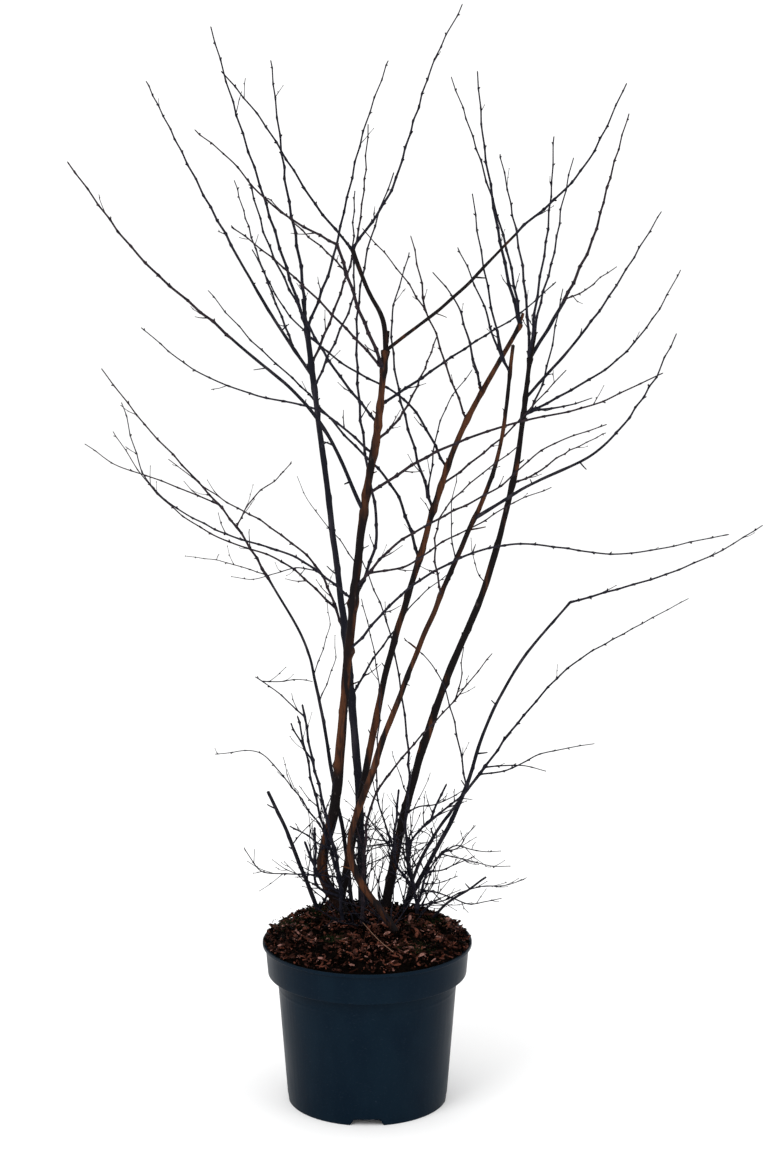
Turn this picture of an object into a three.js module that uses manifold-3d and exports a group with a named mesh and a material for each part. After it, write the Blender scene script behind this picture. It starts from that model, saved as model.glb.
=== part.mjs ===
// A bare, many-stemmed spirea shrub in its round plastic pot.
// Millimetres, +Z up, +X to the right and +Y away from the viewer.
// The origin is the middle of the pot's flat underside.

import * as THREE from 'three';
import { mergeVertices } from 'three/addons/utils/BufferGeometryUtils.js';
import Module from 'manifold-3d';

// Pot
const POT_HEIGHT = 315;
const LIP_RADIUS = 200;
const LIP_HEIGHT = 7;
const BAND_TOP_RADIUS = 194.5;
const BAND_BOTTOM_RADIUS = 190;
const BAND_BOTTOM = 253;
const BODY_TOP_RADIUS = 172.5;
const BODY_BOTTOM_RADIUS = 153;
const WALL = 3;
const FLOOR_THICKNESS = 3;
const CENTRE_PAD_RADIUS = 95;
const FOOT_RING_RADIUS = 137;
const CHANNEL_HEIGHT = 14;
const CHANNEL_SLOPE = 4;
const NOTCH = { count: 4, width: 64, topWidth: 50, height: 13, depth: 28, startBelow: 1 };
const DRAIN_HOLE = { count: 8, radius: 7, ringRadius: 116, cutHeight: 12, sides: 8 };
const POT_SIDES = 40;

// Soil under bark mulch, heaped a little above the rim
const GROUND = 335;
const MOUND_RADIUS = 158;
const SHOULDER = { radius: 180, rise: 8 };
const MULCH_EDGE_DROP = 1;

// Clearance between neighbouring solids
const GAP = 0.3;

// Tubes of the wood: sides of the section, length between rings, fewest and most
// rings, and how much closer the rings stand near the foot
const STEM_TUBE = { sides: 8, ringGap: 90, rings: [6, 13], crowding: 1.35 };
const BOUGH_TUBE = { sides: 6, ringGap: 45, rings: [4, 8], crowding: 1 };
const WHIP_TUBE = { sides: 3, ringGap: 45, rings: [3, 10], crowding: 1 };
const TWIG_TUBE = { sides: 3, ringGap: 38, rings: [1, 2], crowding: 1 };

// Root flare of the stems, and how far they are run down before the flat cut
const FLARE = { swell: 0.4, reach: 32, sink: 14 };

// Side twigs of a whip, grown by a seeded rule: few and short in the open crown,
// many and longer in the thicket at the shrub's foot
const SEED = 71;
const CROWN_HABIT = { spacing: [180, 380], length: [14, 46] };
const THICKET_HABIT = { spacing: [17, 36], length: [28, 88] };
const THICKET_TOP = 590;
const SIDE_TWIG = {
  firstShare: 0.14,
  lastShare: 0.93,
  shareOfRest: 0.62,
  halfTurns: [0.7, 1.3],
  slant: [0.4, 0.8],
  lift: 0.1,
  thickShare: 0.62,
  thickest: 2.4,
  tipThick: 1.1,
  clearance: 2.5,
  rootWidths: 3,
  longestRoot: 0.5,
  sampleStep: 6,
};

// The stems stand on the ground. Each row: name, foot [x, y], heel just above the
// foot (or none), tip, bow of the stem to the left of the straight line from foot
// to tip at even steps along it, thickness at the foot and at the tip.
const STEMS = [
  ['stem_left_front', [-42, 92], [-86, 80, 424], [35, -70, 1450], [-8, -4, 2, 4, 4, -2], [21.8, 10.8]],
  ['stem_left_back', [-9, 128], null, [-115, 215, 1460], [-16, -16, -8], [16.8, 9.9]],
  ['stem_centre', [-58, 98], null, [285, 70, 1485], [24, 48, 52, 48], [16.3, 8.8]],
  ['stem_bent', [60, -38], [-30, -30, 486], [260, -170, 1470], [10, 0, -18, -34], [13.7, 6.2]],
  ['stem_right', [34, 118], null, [315, 270, 1400], [12, 0, -28, -28], [17.3, 8.8]],
  ['stem_arching', [67, 112], null, [375, -60, 985], [-2, 4, 28, 28], [9.7, 4.3]],
  ['stem_low_right', [71, 128], null, [220, 160, 600], [18, 14], [7.2, 4.8]],
  ['stem_far_left', [-31, 140], null, [-185, 60, 1005], [-18, -26, -36, -36], [8.3, 3.9]],
  ['stump_left', [-94, 95], null, [-190, 60, 590], [-2, -4], [8.2, 6.2]],
  ['stump_right', [125, 62], null, [225, -20, 445], [6, 2], [5.2, 3.8]],
];

// The boughs fork from the stems. Each row: name, the limb it leaves, the share of
// that limb's length where it leaves, tip, bow, thickness, and the share of its own
// length that is bough, which its mass of twigs carries on to the tip.
const BOUGHS = [
  ['bough_high_right', 'stem_left_front', 1.00, [435, -360, 1925], [-26, -32, -42], [6.5, 1.7], 0.5],
  ['bough_upper_left', 'stem_left_front', 1.00, [-25, -40, 1630], [-12, -6, -2], [8.8, 6.3], 1],
  ['bough_long_left', 'stem_left_front', 0.73, [-500, -330, 1795], [-46, -20, 10], [7.2, 2], 0.5],
  ['bough_back_left', 'stem_left_back', 0.92, [-445, 560, 1925], [12, 12, 8], [6.5, 2], 0.4],
  ['bough_far_right', 'stem_bent', 0.73, [520, -420, 1515], [-24, -58, -44], [6.6, 1.6], 0.55],
  ['bough_right_high', 'stem_right', 1.00, [530, 620, 1860], [-20, -26, -12], [7, 2], 0.24],
  ['bough_right_out', 'stem_right', 0.93, [585, 480, 1670], [-12, -16, -10], [5.8, 1.7], 0.4],
];

// The whips are the long bare shoots of the masses. Each row: the mass, with a
// second word where it has more than one whip, the limb it leaves, the share of
// that limb's length, tip, bow and thickness.
const WHIPS = [
  ['twigs_top', 'bough_upper_left', 1.00, [175, 120, 2065], [-20, -8, 4], [4.6, 1.6]],
  ['twigs_top left', 'twigs_top', 0.00, [-245, -240, 1945], [6, 0, -6], [4.2, 1.8]],
  ['twigs_left_fork', 'stem_left_front', 0.97, [-50, -210, 1650], [2, 4, 2], [6.2, 4.8]],
  ['twigs_left_fork end', 'twigs_left_fork', 1.00, [-280, -400, 1850], [14, 16, 2], [3.9, 1.4]],
  ['twigs_left_fork side', 'twigs_left_fork', 0.79, [-160, -430, 1740], [-2, 0, 0], [2.9, 1.4]],
  ['twigs_left_fork cross', 'twigs_left_fork', 0.00, [-230, -260, 1685], [-6, -10, -8], [4.7, 1.7]],
  ['twigs_mid_left', 'stem_left_front', 0.83, [-425, 150, 1470], [-22, 10, 22], [4.5, 1.3]],
  ['twigs_crossing_left', 'stem_centre', 0.60, [-310, 330, 1525], [-44, -34, -26, -6], [6, 1.3]],
  ['twigs_mid_right', 'stem_left_front', 0.76, [530, -120, 1415], [24, 20, -4], [5.8, 1.8]],
  ['twigs_front_right', 'stem_left_front', 0.49, [615, -420, 1175], [86, 102, 24], [5.5, 1.8]],
  ['twigs_upper_right', 'stem_left_front', 0.91, [360, 230, 1550], [-2, -4, -10], [5.4, 1.7]],
  ['twigs_inner_right', 'stem_left_front', 0.85, [135, 330, 1435], [-16, -16, -10], [5.2, 2.3]],
  ['twigs_inner_middle', 'stem_left_front', 0.57, [50, 130, 1760], [-32, 0, 28, 42, 32], [6.3, 1.9]],
  ['twigs_inner_left', 'stem_left_front', 0.88, [-225, 220, 1745], [24, 28, 24], [5.1, 2.5]],
  ['twigs_long_right', 'stem_left_front', 0.60, [420, -250, 1340], [26, 22, 12, 24], [5.4, 1.6]],
  ['twigs_long_right back', 'twigs_long_right', 0.07, [345, 60, 1180], [-18, -6, -4, 4], [4.4, 1.6]],
  ['twigs_low_left', 'stem_left_front', 0.58, [-415, -350, 1390], [10, 64, 78], [5, 1.2]],
  ['twigs_low_left side', 'twigs_low_left', 0.16, [-240, -200, 1060], [-8, 0, 8], [2.6, 1.1]],
  ['twigs_low_centre', 'stem_left_back', 0.37, [155, 330, 960], [12, 14, 16], [5, 1.7]],
  ['twigs_back_low', 'stem_left_back', 0.48, [-400, 420, 1180], [-54, -46, -16], [5.3, 1.7]],
  ['twigs_back_low outer', 'twigs_back_low', 0.10, [-480, 130, 1275], [-6, 36, 40], [4.4, 1.4]],
  ['twigs_back_side', 'bough_back_left', 0.09, [-275, 640, 1725], [4, 6, 4], [4.2, 1.7]],
  ['twigs_back_top', 'stem_left_back', 1.00, [-185, 330, 1965], [-4, 2, 2], [6.4, 1.9]],
  ['twigs_back_top left', 'twigs_back_top', 0.00, [-285, 110, 2025], [2, 2, 4], [5.5, 1.9]],
  ['twigs_back_top right', 'twigs_back_top', 0.00, [40, 480, 1965], [-8, 0, 6], [5.2, 1.8]],
  ['twigs_back_inner', 'stem_left_back', 0.94, [0, 560, 1840], [-20, -30, -20], [4.9, 1.8]],
  ['twigs_back_middle', 'stem_left_back', 0.90, [-20, -60, 1735], [-18, -36, -16], [4.5, 1.7]],
  ['twigs_centre_top', 'stem_centre', 1.00, [205, 150, 1945], [10, 12, 10], [5.9, 1.9]],
  ['twigs_centre_top left', 'twigs_centre_top', 0.00, [150, -120, 1935], [-12, -12, -8], [4.6, 1.4]],
  ['twigs_centre_left', 'stem_centre', 0.83, [-5, -180, 1675], [-12, -28, -22], [4, 1.4]],
  ['twigs_centre_left top', 'twigs_centre_left', 0.55, [80, -60, 1655], [-2, -2], [3.1, 1.5]],
  ['twigs_centre_up', 'stem_centre', 0.68, [80, 240, 1605], [26, 46, 44], [5.5, 1.7]],
  ['twigs_centre_up right', 'twigs_centre_up', 0.06, [195, 60, 1400], [14, 24, 20], [3.4, 1.2]],
  ['twigs_centre_back', 'stem_centre', 0.75, [-220, 250, 1610], [-26, 16, 30], [4.8, 1.8]],
  ['twigs_centre_right', 'stem_centre', 0.72, [385, 280, 1375], [-8, -12, -6], [4.5, 1.8]],
  ['twigs_centre_spur', 'stem_centre', 0.88, [120, -60, 1590], [-8, -16, -18], [4.7, 1.7]],
  ['twigs_bent_top', 'stem_bent', 0.96, [160, -230, 1645], [4, -2, -2], [4.2, 1.4]],
  ['twigs_bent_top back', 'twigs_bent_top', 0.09, [190, -60, 1730], [4, 4, 4], [3.9, 1.7]],
  ['twigs_bent_low', 'stem_bent', 0.60, [255, -480, 1335], [46, 64, 38], [3.8, 1.7]],
  ['twigs_right_top', 'stem_right', 1.00, [260, 420, 1785], [-8, -10, -6], [5.5, 1.8]],
  ['twigs_right_top front', 'twigs_right_top', 0.00, [350, 180, 1825], [0, -6, -6], [5.2, 1.8]],
  ['twigs_right_top back', 'twigs_right_top', 0.00, [410, 500, 1775], [4, -2, 2], [4.8, 1.7]],
  ['twigs_right_high side', 'bough_right_high', 0.25, [505, 560, 1555], [-6, -2], [3, 1.2]],
  ['twigs_right_wide', 'stem_right', 0.90, [585, 120, 1580], [-26, -44, -32], [5, 1.3]],
  ['twigs_right_wide low', 'twigs_right_wide', 0.05, [440, 330, 1315], [-4, -4], [4.6, 1.7]],
  ['twigs_right_wide up', 'twigs_right_wide', 0.04, [375, 250, 1535], [-8, -8, -4], [4, 1.4]],
  ['twigs_right_back', 'stem_right', 0.78, [485, 520, 1220], [-4, 4, 2], [4.3, 1.7]],
  ['twigs_arching', 'stem_arching', 1.00, [690, -300, 1170], [-10, -18, -16], [4.2, 1.8]],
  ['twigs_low_right', 'stem_low_right', 0.99, [655, 470, 885], [34, 50, 28], [4.9, 1.7]],
  ['twigs_low_right side', 'twigs_low_right', 0.00, [455, 330, 615], [-6, 8, 6], [3.7, 1.7]],
  ['twigs_low_right front', 'twigs_low_right', 0.03, [345, 120, 615], [6, 8], [3.4, 1.7]],
  ['twigs_far_left', 'stem_far_left', 1.00, [-490, 40, 1405], [-14, -8, 2], [4.8, 1.7]],
  ['twigs_far_left low', 'twigs_far_left', 0.34, [-540, 180, 1245], [2, 6, 12], [3.2, 1.6]],
  ['twigs_far_left up', 'twigs_far_left', 0.23, [-135, -120, 1255], [10, 10, 0], [3.1, 1.6]],
  ['twigs_far_left side', 'twigs_far_left', 0.02, [-325, -160, 1090], [-4, -6], [2.2, 1.1]],
];

// The shoots at the shrub's foot grow straight from the ground.
const FOOT_SHOOTS = [
  ['twigs_foot_left', [-47, 40], null, [-120, -40, 785], [-10, -6, 0], [7, 4]],
  ['twigs_foot_middle', [-10, 20], null, [235, 20, 870], [50, 84, 64, 28], [6.5, 1.9]],
  ['twigs_foot_right', [96, 84], null, [155, 60, 480], [10, 16, 12], [5.5, 2.1]],
];
const FOOT_WHIPS = [
  ['twigs_foot_left second', 'twigs_foot_left', 0.20, [-130, -10, 755], [4, 6, 2], [5.5, 3.5]],
  ['twigs_foot_left spur', 'twigs_foot_left', 0.75, [-145, 60, 725], [2, 2], [3.9, 3.1]],
  ['twigs_foot_left arch', 'twigs_foot_left', 0.35, [-300, 210, 625], [-26, -48, -56], [3.3, 1.6]],
  ['twigs_foot_left mid', 'twigs_foot_left', 0.95, [-210, 20, 825], [-2, -4], [3.1, 1.6]],
  ['twigs_foot_left level', 'twigs_foot_left mid', 0.87, [-105, 90, 800], [0, 4], [2.3, 1.5]],
  ['twigs_foot_left low', 'twigs_foot_left', 0.21, [-230, -60, 515], [10, 24, 34], [3.5, 1.6]],
  ['twigs_foot_left stub', 'twigs_foot_left', 0.12, [-100, 20, 530], [36, 26, 12], [5.5, 4.7]],
  ['twigs_foot_left leaning', 'twigs_foot_left', 0.14, [-120, 60, 490], [16, 10], [5.5, 4.9]],
  ['twigs_foot_left knobby', 'twigs_foot_left', 0.34, [-145, -20, 545], [4, 0], [3.7, 2.7]],
  ['twigs_foot_middle up', 'twigs_foot_middle', 0.82, [180, -40, 895], [-4, -2], [2.9, 1.6]],
  ['twigs_foot_right long', 'twigs_foot_right', 0.10, [-10, 120, 1030], [2, -26, -34, -30], [6, 2.1]],
  ['twigs_foot_right side', 'twigs_foot_right', 0.60, [205, 20, 475], [-6, -4, -2], [3.3, 1.6]],
  ['twigs_foot_right low', 'twigs_foot_right', 0.34, [255, -10, 400], [-2, -10, -18, -10], [3.9, 1.5]],
  ['twigs_foot_right lowest', 'twigs_foot_right', 0.13, [305, 40, 425], [-4, 4, 6, -4], [3.5, 1.5]],
  ['twigs_foot_right mid', 'twigs_foot_right', 0.83, [260, 150, 445], [20, 10, 2], [2.9, 1.5]],
  ['twigs_foot_right fan', 'twigs_foot_right', 0.91, [205, 0, 540], [-12, -4], [2.9, 1.5]],
  ['twigs_foot_right droop', 'twigs_foot_right', 0.88, [270, -30, 470], [-2, -4, -6], [2.9, 1.5]],
  ['twigs_foot_right short', 'twigs_foot_right', 0.43, [175, 130, 400], [-6, -4], [2.7, 1.5]],
  ['twigs_foot_right inner', 'twigs_foot_right long', 0.17, [190, 0, 610], [10, 8, 2], [4.9, 3.7]],
  ['twigs_foot_right arch', 'twigs_foot_right long', 0.27, [180, 30, 600], [4, -4, -4], [3.5, 1.7]],
  ['twigs_foot_right broken', 'twigs_foot_right inner', 0.47, [150, 20, 615], [2, 2], [4.5, 3.7]],
  ['twigs_foot_right stub', 'twigs_foot_right long', 0.07, [85, 100, 480], [8, 6], [5.5, 4.7]],
  ['twigs_foot_right tall', 'twigs_foot_right long', 0.06, [60, 20, 605], [26, 24, 12], [5.5, 4.1]],
  ['twigs_foot_right thin', 'twigs_foot_right tall', 0.42, [-10, 40, 970], [18, 8, -10, -10], [3.5, 1.7]],
  ['twigs_foot_right cross', 'twigs_foot_right tall', 0.44, [0, 0, 560], [4, 2], [3.7, 2.1]],
  ['twigs_foot_right bent', 'twigs_foot_right inner', 1.00, [70, 20, 900], [-16, -30, -32], [3.7, 1.7]],
];

const WOOD = new THREE.MeshStandardMaterial({ color: 0x4a2e20, roughness: 0.85, metalness: 0 });
const TWIG_WOOD = new THREE.MeshStandardMaterial({ color: 0x2c1b1a, roughness: 0.8, metalness: 0 });
const POT_PLASTIC = new THREE.MeshStandardMaterial({ color: 0x1c2a36, roughness: 0.42, metalness: 0 });
const MULCH = new THREE.MeshStandardMaterial({ color: 0x4a2016, roughness: 0.95, metalness: 0 });

const wasm = await Module();
wasm.setup();

// Solids

function solidFrom(geometry) {
  geometry.deleteAttribute('normal');
  geometry.deleteAttribute('uv');
  const merged = mergeVertices(geometry);
  const corners = merged.getIndex().array;
  const triangles = [];
  for (let i = 0; i < corners.length; i += 3) {
    const [a, b, c] = corners.slice(i, i + 3);
    if (a !== b && b !== c && c !== a) triangles.push(a, b, c);
  }
  const mesh = new wasm.Mesh({
    numProp: 3,
    vertProperties: new Float32Array(merged.getAttribute('position').array),
    triVerts: new Uint32Array(triangles),
  });
  return new wasm.Manifold(mesh);
}

function meshFrom(solid, name, material) {
  const { vertProperties, triVerts } = solid.getMesh();
  const geometry = new THREE.BufferGeometry();
  geometry.setAttribute('position', new THREE.BufferAttribute(vertProperties, 3));
  geometry.setIndex(new THREE.BufferAttribute(triVerts, 1));
  geometry.computeVertexNormals();
  const mesh = new THREE.Mesh(geometry, material);
  mesh.name = name;
  return mesh;
}

function join(solids) {
  return solids.reduce((whole, solid) => whole.add(solid));
}

function largestPiece(solid) {
  return solid.decompose().reduce((best, piece) => (piece.volume() > best.volume() ? piece : best));
}

// A solid of revolution about the pot's upright axis, from [radius, height] pairs.
function turned(profile) {
  const points = profile.map(([radius, height]) => new THREE.Vector2(radius, height));
  return solidFrom(new THREE.LatheGeometry(points, POT_SIDES).rotateX(Math.PI / 2));
}

// Pot and soil

function potShell() {
  const channelInner = CENTRE_PAD_RADIUS + CHANNEL_SLOPE;
  const channelOuter = FOOT_RING_RADIUS - CHANNEL_SLOPE;
  const floorTop = CHANNEL_HEIGHT + FLOOR_THICKNESS;
  return turned([
    [0, 0],
    [CENTRE_PAD_RADIUS, 0],
    [channelInner, CHANNEL_HEIGHT],
    [channelOuter, CHANNEL_HEIGHT],
    [FOOT_RING_RADIUS, 0],
    [BODY_BOTTOM_RADIUS, 0],
    [BODY_TOP_RADIUS, BAND_BOTTOM],
    [BAND_BOTTOM_RADIUS, BAND_BOTTOM],
    [BAND_TOP_RADIUS, POT_HEIGHT - LIP_HEIGHT],
    [LIP_RADIUS, POT_HEIGHT - LIP_HEIGHT / 2],
    [LIP_RADIUS, POT_HEIGHT],
    [BAND_TOP_RADIUS - WALL, POT_HEIGHT - WALL],
    [BAND_BOTTOM_RADIUS - WALL, BAND_BOTTOM + WALL],
    [BODY_TOP_RADIUS - WALL, BAND_BOTTOM + WALL],
    [BODY_BOTTOM_RADIUS - WALL, floorTop],
    [channelInner - WALL, floorTop],
    [CENTRE_PAD_RADIUS - WALL, FLOOR_THICKNESS],
    [0, FLOOR_THICKNESS],
  ]);
}

function notchCutter(index) {
  const outline = new THREE.Shape();
  outline.moveTo(-NOTCH.width / 2, -NOTCH.startBelow);
  outline.lineTo(NOTCH.width / 2, -NOTCH.startBelow);
  outline.lineTo(NOTCH.topWidth / 2, NOTCH.height);
  outline.lineTo(-NOTCH.topWidth / 2, NOTCH.height);
  const block = new THREE.ExtrudeGeometry(outline, { depth: NOTCH.depth, bevelEnabled: false });
  block.rotateX(Math.PI / 2);
  block.translate(0, -(FOOT_RING_RADIUS - CHANNEL_SLOPE), 0);
  block.rotateZ((index / NOTCH.count) * 2 * Math.PI);
  return solidFrom(block);
}

function drainHoleCutter(index) {
  const { count, radius, ringRadius, cutHeight, sides } = DRAIN_HOLE;
  const peg = new THREE.CylinderGeometry(radius, radius, cutHeight, sides).rotateX(Math.PI / 2);
  peg.translate(ringRadius, 0, CHANNEL_HEIGHT + FLOOR_THICKNESS / 2);
  peg.rotateZ(((index + 0.5) / count) * 2 * Math.PI);
  return solidFrom(peg);
}

function makePot() {
  let pot = potShell();
  for (let i = 0; i < NOTCH.count; i += 1) pot = pot.subtract(notchCutter(i));
  for (let i = 0; i < DRAIN_HOLE.count; i += 1) pot = pot.subtract(drainHoleCutter(i));
  return pot;
}

// The soil fills the pot, with a level top that the stems stand on.
function makeSoil() {
  const inset = WALL + GAP;
  const floorTop = CHANNEL_HEIGHT + FLOOR_THICKNESS + GAP;
  const edgeRadius = BAND_TOP_RADIUS - inset - GAP;
  return turned([
    [0, FLOOR_THICKNESS + GAP],
    [CENTRE_PAD_RADIUS - inset - GAP, FLOOR_THICKNESS + GAP],
    [CENTRE_PAD_RADIUS + CHANNEL_SLOPE - inset - GAP, floorTop],
    [BODY_BOTTOM_RADIUS - inset, floorTop],
    [BODY_TOP_RADIUS - inset, BAND_BOTTOM + WALL + GAP],
    [BAND_BOTTOM_RADIUS - inset, BAND_BOTTOM + WALL + GAP],
    [edgeRadius, POT_HEIGHT - MULCH_EDGE_DROP],
    [SHOULDER.radius, POT_HEIGHT + SHOULDER.rise],
    [MOUND_RADIUS, GROUND],
    [0, GROUND],
  ]);
}

// Wood

// A limb is a smooth line through a few knots, and tapers evenly along its length.
class Limb extends THREE.CatmullRomCurve3 {
  constructor(name, knots, thick) {
    super(knots);
    this.name = name;
    this.thick = thick;
    this.reach = this.getLength();
    this.onGround = false;
  }

  radiusAt(share) {
    const even = THREE.MathUtils.lerp(this.thick[0], this.thick[1], share) / 2;
    if (!this.onGround) return even;
    return even * (1 + FLARE.swell * Math.exp((-share * this.reach) / FLARE.reach));
  }
}

// Knots from start to tip, set off to the left of the straight line by each bow.
function bowed(start, tip, bow) {
  const along = new THREE.Vector3().subVectors(tip, start);
  const left = new THREE.Vector3(-along.z, 0, along.x).normalize();
  const knots = bow.map((offset, i) => {
    const share = (i + 1) / (bow.length + 1);
    return start.clone().addScaledVector(along, share).addScaledVector(left, offset);
  });
  return [start, ...knots, tip];
}

function groundLimb([name, foot, heel, tip, bow, thick]) {
  const start = new THREE.Vector3(foot[0], foot[1], GROUND + GAP);
  const end = new THREE.Vector3(...tip);
  const knots = heel ? [start, ...bowed(new THREE.Vector3(...heel), end, bow)] : bowed(start, end, bow);
  const limb = new Limb(name, knots, thick);
  limb.onGround = true;
  return limb;
}

function sideLimb([name, parentName, share, tip, bow, thick], limbs) {
  const start = limbs.get(parentName).getPointAt(share);
  return new Limb(name, bowed(start, new THREE.Vector3(...tip), bow), thick);
}

// Where each ring of a tube stands: its centre, its two directions and its radius.
function ringPlaces(limb, { from, to, rings, crowding, grow }) {
  const places = [];
  let side = new THREE.Vector3(0, 1, 0);
  for (let i = 0; i <= rings; i += 1) {
    const share = Math.min(from + (to - from) * (i / rings) ** crowding, 1);
    const centre = limb.getPointAt(share);
    const along = limb.getTangentAt(share);
    side = side.clone().addScaledVector(along, -side.dot(along)).normalize();
    const across = new THREE.Vector3().crossVectors(side, along);
    const radius = limb.radiusAt(share) + grow;
    if (i === 0) centre.addScaledVector(along, -grow - (limb.onGround && from === 0 ? FLARE.sink : 0));
    if (i === rings) centre.addScaledVector(along, grow);
    places.push({ centre, side, across, radius });
  }
  return places;
}

// A closed tapering tube round part of a limb, fatter than the wood by grow.
function tube(limb, shape, { from = 0, to = 1, grow = 0 } = {}) {
  const { sides, ringGap, crowding } = shape;
  const rings = THREE.MathUtils.clamp(Math.round(((to - from) * limb.reach) / ringGap), ...shape.rings);
  const places = ringPlaces(limb, { from, to, rings, crowding, grow });
  const geometry = new THREE.CylinderGeometry(1, 1, 1, sides, rings);
  const position = geometry.getAttribute('position');
  const corner = new THREE.Vector3();
  for (let i = 0; i < position.count; i += 1) {
    corner.fromBufferAttribute(position, i);
    const { centre, side, across, radius } = places[Math.round((corner.y + 0.5) * rings)];
    const point = centre.clone();
    point.addScaledVector(side, corner.x * radius).addScaledVector(across, corner.z * radius);
    position.setXYZ(i, point.x, point.y, point.z);
  }
  return solidFrom(geometry);
}

// Side twigs

function seededRandom(seed) {
  let state = seed;
  return (low = 0, high = 1) => {
    state = (state + 0x6d2b79f5) | 0;
    let mixed = Math.imul(state ^ (state >>> 15), 1 | state);
    mixed = (mixed + Math.imul(mixed ^ (mixed >>> 7), 61 | mixed)) ^ mixed;
    return low + ((high - low) * ((mixed ^ (mixed >>> 14)) >>> 0)) / 4294967296;
  };
}

// Points along a piece of wood with its radius there, for the clearance tests.
function samples({ node, limb, from, to }) {
  const count = Math.max(2, Math.ceil(((to - from) * limb.reach) / SIDE_TWIG.sampleStep));
  return Array.from({ length: count + 1 }, (_, i) => {
    const share = Math.min(from + ((to - from) * i) / count, 1);
    return { node, point: limb.getPointAt(share), radius: limb.radiusAt(share) };
  });
}

function comesWithin(clearance, some, others) {
  return some.some(({ point, radius }) => others.some((other) => {
    const needed = radius + other.radius + clearance;
    return point.distanceToSquared(other.point) < needed * needed;
  }));
}

// A twig is kept only where it clears the ground, every other node's wood and,
// beyond its own root, the wood of its own mass.
function isClear(twig, whip, taken) {
  const root = (SIDE_TWIG.rootWidths * whip.limb.thick[0]) / twig.limb.reach;
  const beyondRoot = { ...twig, from: Math.min(SIDE_TWIG.longestRoot, root) };
  const inOwnMass = taken.filter(({ node }) => node === twig.node);
  const inOthers = taken.filter(({ node }) => node !== twig.node);
  if (samples(twig).some(({ point }) => point.z < GROUND + SIDE_TWIG.clearance)) return false;
  if (comesWithin(SIDE_TWIG.clearance, samples(twig), inOthers)) return false;
  return !comesWithin(SIDE_TWIG.clearance, samples(beyondRoot), inOwnMass);
}

function habitAt(whip, share) {
  const inThicket = whip.node.startsWith('twigs_foot') && whip.limb.getPointAt(share).z < THICKET_TOP;
  return inThicket ? THICKET_HABIT : CROWN_HABIT;
}

// One side twig: it leaves its whip at a slant and then lifts toward the light.
function sideTwig(whip, share, turn, habit, random) {
  const along = whip.limb.getTangentAt(share);
  const aside = new THREE.Vector3(0, 1, 0).cross(along).normalize().applyAxisAngle(along, turn);
  const slant = random(...SIDE_TWIG.slant);
  const heading = along.multiplyScalar(Math.cos(slant)).addScaledVector(aside, Math.sin(slant));
  const rest = (1 - share) * whip.limb.reach * SIDE_TWIG.shareOfRest;
  const length = Math.min(random(...habit.length), rest);
  const root = whip.limb.getPointAt(share);
  const middle = root.clone().addScaledVector(heading, length / 2);
  const tip = root.clone().addScaledVector(heading, length);
  tip.z += length * SIDE_TWIG.lift;
  const thick = Math.min(SIDE_TWIG.thickest, 2 * whip.limb.radiusAt(share) * SIDE_TWIG.thickShare);
  const limb = new Limb(whip.node, [root, middle, tip], [thick, SIDE_TWIG.tipThick]);
  return { node: whip.node, limb, from: 0, to: 1, shape: TWIG_TUBE };
}

function growTwigs(whip, taken, random) {
  const { limb, from } = whip;
  const twigs = [];
  let turn = random(0, 2 * Math.PI);
  let share = from + (1 - from) * SIDE_TWIG.firstShare;
  while (share < SIDE_TWIG.lastShare) {
    turn += Math.PI * random(...SIDE_TWIG.halfTurns);
    const habit = habitAt(whip, share);
    const twig = sideTwig(whip, share, turn, habit, random);
    share += random(...habit.spacing) / limb.reach;
    if (!isClear(twig, whip, taken)) continue;
    taken.push(...samples(twig));
    twigs.push(twig);
  }
  return twigs;
}

// The plant

// A piece of wood is the stretch of a limb that one node holds.
function layOutWood() {
  const limbs = new Map();
  const pieces = [];
  const place = (limb, node, from, to, shape) => {
    limbs.set(limb.name, limb);
    pieces.push({ node, limb, from, to, shape });
  };
  STEMS.map(groundLimb).forEach((limb) => place(limb, limb.name, 0, 1, STEM_TUBE));
  BOUGHS.forEach((row) => {
    const limb = sideLimb(row, limbs);
    const wood = row.at(-1);
    place(limb, limb.name, 0, wood, BOUGH_TUBE);
    if (wood < 1) place(limb, limb.name.replace('bough', 'twigs'), wood + GAP / limb.reach, 1, WHIP_TUBE);
  });
  FOOT_SHOOTS.map(groundLimb).forEach((limb) => place(limb, limb.name, 0, 1, WHIP_TUBE));
  [...WHIPS, ...FOOT_WHIPS].forEach((row) => {
    const limb = sideLimb(row, limbs);
    place(limb, limb.name.split(' ')[0], 0, 1, WHIP_TUBE);
  });
  return pieces;
}

function growMasses(pieces) {
  const random = seededRandom(SEED);
  const taken = pieces.flatMap(samples);
  const whips = pieces.filter(({ shape }) => shape === WHIP_TUBE);
  return whips.flatMap((whip) => growTwigs(whip, taken, random));
}

function groundBlock() {
  const size = 4 * LIP_RADIUS;
  return solidFrom(new THREE.BoxGeometry(size, size, size).translate(0, 0, GROUND + GAP - size / 2));
}

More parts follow.
